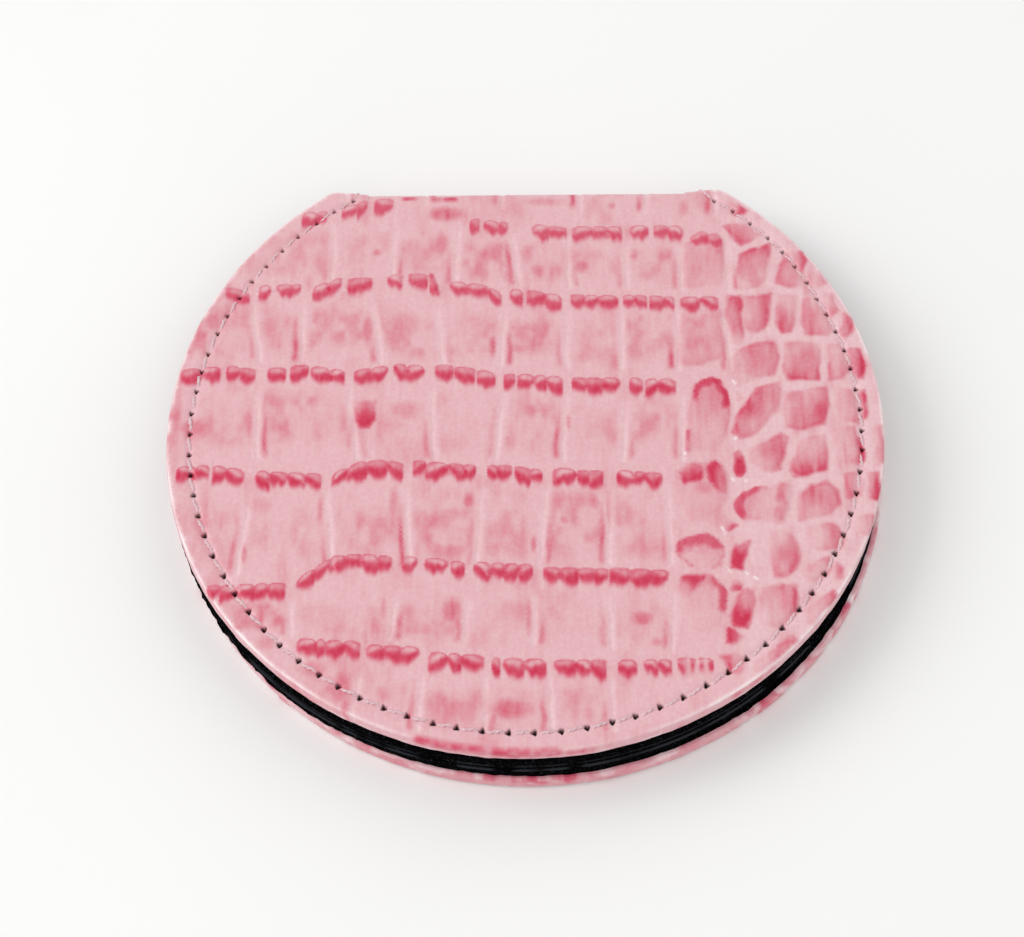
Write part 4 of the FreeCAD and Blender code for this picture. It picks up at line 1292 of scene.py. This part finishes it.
def lining_skin(leaf, material):
    """Black leatherette on a leaf's inner side: face, rounded edge, turned edge round the glass."""
    window, window_out = window_loop()
    flat, faces, window_start = lining_net(window)
    x, y = flat[:, 0], flat[:, 1]
    gap, _ = LINING_PLAN.inside(x, y)
    short = np.clip(LINING_ROUND - gap, 0, LINING_ROUND)
    sink, pit = seam_sink(x, y)
    depth = LINING_ROUND - np.sqrt(LINING_ROUND ** 2 - short ** 2)
    depth = depth + sink * (1.2 - 0.5 * pit) + 0.03 * noise(x / 2.5, y / 2.5, 73)
    count = len(LINING_PLAN.points)
    parts = [np.stack([x, y, leaf.inner(depth)], 1), lining_edge(leaf, depth[:count])]
    for share, inset in WINDOW_ROWS:
        ring = window - window_out * inset
        height = np.full(len(ring), leaf.inner(FACING * share))
        parts.append(np.stack([ring[:, 0], ring[:, 1], height], 1))
    first = len(flat)
    wall = first + len(parts[1])
    faces += join_rows(first, 0, count) + band_faces(first, count, len(EDGE_ROWS) - 1)
    faces += join_rows(window_start, wall, len(window))
    faces += band_faces(wall, len(window), len(WINDOW_ROWS) - 1)
    points = settle(np.concatenate(parts), **leaf.lining_set)
    # Painted highlight: a thin, broken grey line along the rounded edge.
    painted_edge_highlight = bell(gap - 0.04, 0.05) * ramp(0.3, 0.65, noise(x / 1.7, y / 1.7, 131))
    rest = np.zeros(len(points) - len(pit))
    tints = {"pit": np.concatenate([pit, rest]), "painted_edge_highlight": np.concatenate([painted_edge_highlight, rest])}
    piece = mesh_piece(leaf.name + "_lining_skin", points, faces, tints, (material,))
    dress(piece, leaf.body, "black_lining", leaf.name + "_lining")


def lining_edge(leaf, edge_depth):
    """Rows of points down the lining's edge, grainy as leatherette pulled round a board."""
    rim, out = LINING_PLAN.points, LINING_PLAN.normals
    along = np.arange(len(rim)) * LINING_EDGE_STEP
    rough = 0.12 + 0.12 * ramp(14, 28, np.abs(rim[:, 0]))
    wave = 0.1 * (noise(along / 3.1, along * 0, 83) - 0.5)
    rows = []
    for share, inset in EDGE_ROWS:
        depth = edge_depth + (LINING_DEPTH - edge_depth) * share
        grain = rough * (noise(along / 0.45, depth / 0.5 + 3 * leaf.upward, 79) - 0.5) + wave
        place = rim - out * (inset + 0.08 + grain * (inset < 0.2))[:, None]
        rows.append(np.stack([place[:, 0], place[:, 1], leaf.inner(depth)], 1))
    return np.concatenate(rows)


def stitch_path(start, end, sunk):
    """Middle line of one stitch between two holes: plan place and depth."""
    t = np.linspace(0, 1, STITCH_POINTS)
    plan = start + (end - start) * t[:, None]
    radius = seam_radius(np.arctan2(plan[:, 0], -plan[:, 1]))
    radius = radius + STITCH_SLANT * np.sin(2 * math.pi * t)
    plan = plan * (radius / np.hypot(plan[:, 0], plan[:, 1]))[:, None]
    dip = bell(t, DIP_SHARE) + bell(1 - t, DIP_SHARE)
    return plan, sunk + STITCH_DIP * dip - 0.05 * np.sin(math.pi * t)


def tail_path(hole, sunk):
    """Middle line of the thread from the last hole over the back edge of an ear."""
    t = np.linspace(0, 1, STITCH_POINTS)
    end = np.array([TAIL_LEFT if hole[0] < 0 else TAIL_RIGHT, EAR_BACK - 0.02])
    plan = hole + (end - hole) * t[:, None]
    depth = leather_depth(plan[:, 0], plan[:, 1])[0]
    return plan, depth + sunk + STITCH_DIP * bell(t, DIP_SHARE)


def thread(leaf, outer, material):
    """One side of a seam: stitches of two twisted plies, from hole to hole."""
    rng = np.random.default_rng(89 if outer else 97)
    sunk = OUTER_SUNK if outer else BOBBIN_SUNK
    thick = 1.0 if outer else BOBBIN_SHARE
    paths = []
    for start, end in zip(HOLES[:-1], HOLES[1:]):
        plan, depth = stitch_path(start, end, sunk + rng.uniform(-0.02, 0.02))
        paths.append((plan, depth, rng.uniform(0, 2 * math.pi)))
    if outer:
        for hole in HOLES[[0, -1]]:
            paths.append((*tail_path(hole, sunk - 0.08), rng.uniform(0, 2 * math.pi)))
    points, faces = [], []
    for plan, depth, phase in paths:
        height = leaf.outer(depth) if outer else leaf.inner(depth)
        line = np.stack([plan[:, 0], plan[:, 1], height], 1)
        thin = thick * (1 - 0.2 * ramp(0, 26, plan[STITCH_POINTS // 2, 1]))
        for ply in (0, math.pi):
            add_ply(points, faces, line, phase + ply, thin)
    points = np.array(points)
    # Painted shade on the thread where it dips into a hole.
    pit = 1 - ramp(0.1, 0.31, hole_distance(points[:, 0], points[:, 1]))
    points = settle(points, **(leaf.leather_set if outer else leaf.lining_set))
    kind = "stitch" if outer else "bobbin_stitch"
    piece = mesh_piece(f"{leaf.name}_{kind}_thread", points, faces, {"pit": pit}, (material,))
    dress(piece, leaf.body, "pink_thread" if outer else "black_thread", f"{leaf.name}_{kind}es")


def add_ply(points, faces, line, phase, thick):
    """One twisted ply of a stitch as a closed tube round the stitch's middle line."""
    ahead = np.gradient(line, axis=0)
    ahead = ahead / np.linalg.norm(ahead, axis=1)[:, None]
    across = np.cross(ahead, (0, 0, 1))
    across = across / np.linalg.norm(across, axis=1)[:, None]
    up = np.cross(across, ahead)
    run = np.concatenate([[0], np.cumsum(np.linalg.norm(np.diff(line, axis=0), axis=1))])
    turn = phase + 2 * math.pi * run / PLY_PITCH
    middle = line + thick * PLY_TWIST * (np.cos(turn)[:, None] * across + np.sin(turn)[:, None] * up)
    start = len(points)
    for k in range(len(line)):
        for angle in 2 * math.pi * np.arange(PLY_SIDES) / PLY_SIDES:
            reach = math.cos(angle) * across[k] + math.sin(angle) * up[k]
            points.append(middle[k] + thick * PLY_RADIUS * reach)
    for low in range(start, len(points) - PLY_SIDES, PLY_SIDES):
        faces += join_rows(low + PLY_SIDES, low, PLY_SIDES)
    faces.append(tuple(range(start, start + PLY_SIDES)))
    faces.append(tuple(range(len(points) - PLY_SIDES, len(points))))


class Shader:
    """A node material with a Principled surface, and short calls to add nodes to it."""

    def __init__(self, name, **values):
        self.material = bpy.data.materials.new(name)
        self.material.use_nodes = True
        self.tree = self.material.node_tree
        self.surface = self.tree.nodes["Principled BSDF"]
        for socket, value in values.items():
            self.surface.inputs[socket.replace("_", " ")].default_value = value
        self.place = self.add("ShaderNodeTexCoord").outputs["Object"]

    def add(self, kind, **values):
        """Adds a node and sets its properties."""
        node = self.tree.nodes.new(kind)
        for key, value in values.items():
            setattr(node, key, value)
        return node

    def put(self, value, socket):
        """Sets a number or colour on a socket, or links another node's output to it."""
        if isinstance(value, (int, float)):
            socket.default_value = value
        elif isinstance(value, tuple):
            socket.default_value = (*value, 1)
        else:
            self.tree.links.new(value, socket)

    def pattern(self, kind, size, place, **values):
        """A texture node with features about the given size in millimetres."""
        node = self.add(kind, **values)
        node.inputs["Scale"].default_value = 1 / (size * MM)
        self.put(place or self.place, node.inputs["Vector"])
        return node

    def grain(self, size, detail=3.0, rough=0.55, place=None):
        """Cloudy noise."""
        node = self.pattern("ShaderNodeTexNoise", size, place)
        node.inputs["Detail"].default_value = detail
        node.inputs["Roughness"].default_value = rough
        return node.outputs["Fac"]

    def cells(self, size, feature="F1"):
        """Distance from the middle of Voronoi cells."""
        return self.pattern("ShaderNodeTexVoronoi", size, None, feature=feature).outputs["Distance"]

    def stretch(self, x, y, z):
        """Object coordinates, scaled by a factor for each axis."""
        mapping = self.add("ShaderNodeMapping")
        mapping.inputs["Scale"].default_value = (x, y, z)
        self.put(self.place, mapping.inputs["Vector"])
        return mapping.outputs["Vector"]

    def tint(self, label):
        """A value stored at the mesh's points."""
        return self.add("ShaderNodeAttribute", attribute_name=label).outputs["Fac"]

    def math(self, operation, first, second):
        """A sum or other operation on two values."""
        node = self.add("ShaderNodeMath", operation=operation)
        self.put(first, node.inputs[0])
        self.put(second, node.inputs[1])
        return node.outputs[0]

    def remap(self, value, low, high, to_low, to_high):
        """Maps a range of a value to another range, clamped."""
        node = self.add("ShaderNodeMapRange")
        limits = {"From Min": low, "From Max": high, "To Min": to_low, "To Max": to_high}
        for socket, number in limits.items():
            node.inputs[socket].default_value = number
        self.put(value, node.inputs["Value"])
        return node.outputs["Result"]

    def ramp(self, value, stops):
        """Colour by value, from stops of position and linear colour."""
        node = self.add("ShaderNodeValToRGB")
        elements = node.color_ramp.elements
        while len(elements) < len(stops):
            elements.new(0.5)
        for element, (position, colour) in zip(elements, stops):
            element.position = position
            element.color = (*colour, 1)
        self.put(value, node.inputs["Fac"])
        return node.outputs["Color"]

    def mix(self, factor, first, second):
        """Mixes two colours."""
        node = self.add("ShaderNodeMix", data_type="RGBA")
        self.put(factor, node.inputs["Factor"])
        self.put(first, node.inputs[6])
        self.put(second, node.inputs[7])
        return node.outputs[2]

    def bump(self, height, depth):
        """Fine relief of a depth in millimetres, on top of the relief so far."""
        node = self.add("ShaderNodeBump")
        node.inputs["Strength"].default_value = 1.0
        node.inputs["Distance"].default_value = depth * MM
        self.put(height, node.inputs["Height"])
        previous = self.surface.inputs["Normal"].links
        if previous:
            self.put(previous[0].from_socket, node.inputs["Normal"])
        self.put(node.outputs["Normal"], self.surface.inputs["Normal"])
        self.put(node.outputs["Normal"], self.surface.inputs["Coat Normal"])

    def colour(self, source):
        """Sets what colours the surface."""
        self.put(source, self.surface.inputs["Base Color"])

    def roughness(self, source):
        """Sets what makes the surface rough."""
        self.put(source, self.surface.inputs["Roughness"])

    def follow(self, pattern, span, colours, roughness, depth=0):
        """Colour, roughness and relief that follow one pattern between two of its values."""
        self.colour(self.ramp(pattern, tuple(zip(span, colours))))
        self.roughness(self.remap(pattern, *span, *roughness))
        if depth:
            self.bump(pattern, depth)
        return self.material


# Middle values of a noise, between which a finish goes from dark to light
MID_SPAN = (0.3, 0.7)


def pink_leather():
    """Two-tone glazed leather: pale ground, dark tips rubbed into the relief, fine pores."""
    shader = Shader("pink_leather", Coat_Weight=0.32, Coat_Roughness=0.18, Specular_IOR_Level=0.4)
    mottle = shader.grain(0.4, detail=4, rough=0.65)
    streak = shader.grain(0.5, detail=2, place=shader.stretch(1.6, 0.3, 0.6))
    # The tip and pale tints carry painted shade and painted highlights as well as the leather's two
    # tones.
    tone = shader.math("ADD", shader.math("MULTIPLY", shader.tint("tip"), 0.7), 0.3)
    tone = shader.math("SUBTRACT", tone, shader.math("MULTIPLY", shader.tint("pale"), 0.2))
    tone = shader.math("ADD", tone, shader.remap(mottle, *MID_SPAN, -0.05, 0.05))
    tone = shader.math("ADD", tone, shader.remap(streak, *MID_SPAN, -0.025, 0.025))
    pink = shader.ramp(tone, (
        (0.0, (0.93, 0.79, 0.8)),
        (0.12, (0.86, 0.61, 0.635)),
        (0.3, (0.775, 0.45, 0.485)),
        (0.52, (0.72, 0.28, 0.33)),
        (0.78, (0.66, 0.095, 0.16)),
        (1.0, (0.6, 0.014, 0.065)),
    ))
    # Needle holes painted near-black: painted shade in them, with the black bobbin thread seen
    # through.
    shader.colour(shader.mix(shader.tint("pit"), pink, (0.014, 0.004, 0.004)))
    shader.roughness(shader.remap(mottle, *MID_SPAN, 0.34, 0.46))
    shader.bump(shader.grain(0.22, detail=3), 0.012)
    shader.bump(shader.cells(0.5), 0.01)
    return shader.material


def black_lining():
    """Black leatherette with a pebbled grain and a soft sheen, painted grey sparkles, a painted
    highlight along its rounded edge and needle holes painted black.
    """
    shader = Shader("black_lining", Specular_IOR_Level=0.0, Coat_Weight=0.01, Coat_Roughness=0.2)
    pebble = shader.cells(0.42, feature="SMOOTH_F1")
    cloud = shader.grain(1.8)
    # Painted highlights: small grey sparkles on the grain.
    fleck = shader.remap(shader.grain(0.24, detail=2), 0.57, 0.7, 0.0, 1.0)
    tone = shader.ramp(cloud, ((0.3, (0.0007, 0.0007, 0.0008)), (0.7, (0.0018, 0.0018, 0.002))))
    tone = shader.mix(fleck, tone, (0.02, 0.021, 0.025))
    # Painted highlight: a thin grey line along the rounded edge.
    tone = shader.mix(shader.tint("painted_edge_highlight"), tone, (0.034, 0.037, 0.044))
    # Painted shade in the needle holes.
    shader.colour(shader.mix(shader.tint("pit"), tone, (0.002, 0.002, 0.002)))
    shader.roughness(shader.remap(pebble, 0.1, 0.7, 0.42, 0.6))
    shader.bump(pebble, 0.07)
    shader.bump(shader.grain(0.15), 0.012)
    return shader.material


def thread_material(name, dark, light):
    """Twisted sewing thread with fine fibres."""
    shader = Shader(name, Roughness=0.5, Specular_IOR_Level=0.4, Sheen_Weight=0.3)
    fibre = shader.grain(0.12, detail=3)
    strand = shader.ramp(fibre, ((0.3, dark), (0.7, light)))
    # The thread is painted near-black by the holes: painted shade where it goes in.
    shader.colour(shader.mix(shader.tint("pit"), strand, (0.012, 0.006, 0.006)))
    shader.bump(shader.grain(0.05), 0.02)
    return shader.material


def mirror_glass():
    """Silvered glass, clear in the middle, with a ground edge and a trace of smudges."""
    shader = Shader("mirror_glass", Metallic=1.0)
    smudge = shader.grain(9, detail=4)
    split = shader.add("ShaderNodeSeparateXYZ")
    shader.put(shader.place, split.inputs[0])
    across = shader.math("POWER", split.outputs["X"], 2.0)
    forward = shader.math("ADD", split.outputs["Y"], GLASS_FORWARD * MM)
    along = shader.math("POWER", forward, 2.0)
    radius = shader.math("SQRT", shader.math("ADD", across, along), 0.0)
    edge = shader.remap(radius, (GLASS_RADIUS - 0.4) * MM, (GLASS_RADIUS - 0.25) * MM, 0.0, 1.0)
    silver = shader.ramp(smudge, ((0.35, (0.86, 0.89, 0.9)), (0.65, (0.9, 0.92, 0.93))))
    shader.colour(shader.mix(edge, silver, (0.5, 0.62, 0.6)))
    clean = shader.remap(smudge, 0.45, 0.75, 0.012, 0.04)
    shader.roughness(shader.math("ADD", clean, shader.math("MULTIPLY", edge, 0.3)))
    return shader.material


def grey_board():
    """Grey bookbinder's board with flecks of fibre."""
    shader = Shader("board", Specular_IOR_Level=0.2)
    fleck = shader.grain(0.6, detail=6, rough=0.7, place=shader.stretch(1, 0.35, 1))
    return shader.follow(fleck, MID_SPAN, ((0.24, 0.22, 0.2), (0.4, 0.38, 0.35)), (0.75, 0.92), 0.04)


def frame_board():
    """Dark fibre board round the glass."""
    shader = Shader("frame_board", Specular_IOR_Level=0.25)
    fleck = shader.grain(0.5, detail=5, rough=0.65)
    return shader.follow(fleck, MID_SPAN, ((0.05, 0.045, 0.04), (0.11, 0.1, 0.09)), (0.7, 0.9), 0.03)


def foam_tape():
    """White double-sided tape with small closed pores."""
    shader = Shader("tape", Specular_IOR_Level=0.3, Subsurface_Weight=0.05)
    colours = ((0.62, 0.61, 0.58), (0.8, 0.79, 0.76))
    return shader.follow(shader.cells(0.3), (0.1, 0.6), colours, (0.5, 0.75), 0.03)


def plated_metal(name, dark, light):
    """Plated metal disc with fine turning marks."""
    shader = Shader(name, Metallic=1.0)
    mark = shader.grain(0.25, detail=4, place=shader.stretch(1, 0.15, 1))
    return shader.follow(mark, MID_SPAN, (dark, light), (0.22, 0.4), 0.008)


def paint_node(node, material):
    """Gives a CAD node a material."""
    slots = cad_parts[node].data.materials
    slots.clear()
    slots.append(material)


def paint_cad_nodes(leather, lining):
    """Materials for the CAD nodes apart from the stitches, hidden ones as well."""
    finishes = {
        "board": grey_board(), "frame": frame_board(), "mirror_tape": foam_tape(),
        "mirror": mirror_glass(), "leather": leather, "lining": lining,
    }
    for leaf in (LID, BASE):
        for kind, material in finishes.items():
            paint_node(f"{leaf.name}_{kind}", material)
    paint_node("lid_magnets", plated_metal("magnet", (0.5, 0.5, 0.52), (0.66, 0.66, 0.68)))
    paint_node("base_keepers", plated_metal("keeper_steel", (0.4, 0.41, 0.42), (0.56, 0.57, 0.58)))
    paint_node("spine_leather", leather)
    paint_node("spine_lining", lining)


def make_pieces():
    """All pieces of the object that stand for CAD nodes."""
    leather, lining = pink_leather(), black_lining()
    pink_thread = thread_material("pink_thread", (0.6, 0.34, 0.385), (0.9, 0.67, 0.7))
    black_thread = thread_material("black_thread", (0.008, 0.008, 0.009), (0.03, 0.03, 0.032))
    paint_cad_nodes(leather, lining)
    for leaf in (LID, BASE):
        leather_skin(leaf, leather, lining)
        lining_skin(leaf, lining)
        thread(leaf, True, pink_thread)
        thread(leaf, False, black_thread)
        paint_node(leaf.name + "_stitches", pink_thread)
        paint_node(leaf.name + "_bobbin_stitches", black_thread)
    spine_strip(LID, "spine_leather_upper", leather, lining)
    spine_strip(BASE, "spine_leather_lower", leather, lining)
    spine_lining_skin(lining)


# Photograph's view, worked out from the outline of the case; the target and distance are millimetres
CAMERA_TARGET = (-1.18, -5.05, 7.25)
CAMERA_DISTANCE = 250.0
CAMERA_AZIMUTH = math.radians(3.03)
CAMERA_ELEVATION = math.radians(59.21)
CAMERA_ROLL = math.radians(-2.9)
CAMERA_LENS = 88.8
CAMERA_SENSOR = 36.0
CAMERA_CLIP = 0.005


def make_camera():
    """Camera at the photograph's viewing angle."""
    data = bpy.data.cameras.new("photo_camera")
    data.lens = CAMERA_LENS
    data.sensor_width = CAMERA_SENSOR
    data.sensor_fit = "HORIZONTAL"
    data.clip_start = CAMERA_CLIP
    camera = bpy.data.objects.new("photo_camera", data)
    bpy.context.scene.collection.objects.link(camera)
    right = Vector((math.cos(CAMERA_AZIMUTH), math.sin(CAMERA_AZIMUTH), 0))
    forward = Vector((math.sin(CAMERA_AZIMUTH), -math.cos(CAMERA_AZIMUTH), 0))
    back = forward * math.cos(CAMERA_ELEVATION) + Vector((0, 0, math.sin(CAMERA_ELEVATION)))
    up = back.cross(right)
    turned = math.cos(CAMERA_ROLL) * right + math.sin(CAMERA_ROLL) * up
    raised = math.cos(CAMERA_ROLL) * up - math.sin(CAMERA_ROLL) * right
    matrix = Matrix((turned, raised, back)).transposed().to_4x4()
    matrix.translation = Vector(CAMERA_TARGET) * MM + back * CAMERA_DISTANCE * MM
    camera.matrix_world = matrix
    bpy.context.scene.camera = camera


# White table top and soft lights, in metres: name, place, target, size and power of each light
FLOOR_HALF = 3.0
FLOOR_DROP = 0.00002
SKY_STRENGTH = 0.727
LIGHTS = (
    ("key", (-0.65, 0.05, 0.55), (0, 0, 0), 0.5, 2.4),
    ("fill", (0.0, -0.55, 0.8), (0, 0, 0), 0.6, 1.1),
    ("back", (0.1, 0.8, 0.45), (0, 0.02, 0), 0.5, 0.35),
)


def make_floor():
    """White table top."""
    corners = [(x * FLOOR_HALF, y * FLOOR_HALF, 0) for x, y in ((-1, -1), (1, -1), (1, 1), (-1, 1))]
    mesh = bpy.data.meshes.new("table")
    mesh.from_pydata(corners, [], [(0, 1, 2, 3)])
    shader = Shader("table_white", Specular_IOR_Level=0.2)
    whites = ((0.92, 0.92, 0.912), (0.94, 0.94, 0.932))
    mesh.materials.append(shader.follow(shader.grain(60, detail=2), MID_SPAN, whites, (0.65, 0.75)))
    floor = bpy.data.objects.new("table", mesh)
    floor.location = (0, 0, -FLOOR_DROP)
    bpy.context.scene.collection.objects.link(floor)


def soft_light(name, place, target, size, power):
    """A square soft light aimed at a point."""
    data = bpy.data.lights.new(name, "AREA")
    data.size = size
    data.energy = power
    light = bpy.data.objects.new(name, data)
    light.location = place
    aim = Vector(target) - Vector(place)
    light.rotation_euler = aim.to_track_quat("-Z", "Y").to_euler()
    bpy.context.scene.collection.objects.link(light)


def make_light():
    """Soft studio light from all sides, strongest from the left."""
    world = bpy.data.worlds.new("studio")
    world.use_nodes = True
    background = world.node_tree.nodes["Background"]
    background.inputs["Color"].default_value = (1.0, 1.0, 1.0, 1)
    background.inputs["Strength"].default_value = SKY_STRENGTH
    bpy.context.scene.world = world
    for light in LIGHTS:
        soft_light(*light)
    settings = bpy.context.scene.view_settings
    settings.view_transform = "Standard"
    settings.look = "None"


make_pieces()
make_camera()
make_floor()
make_light()
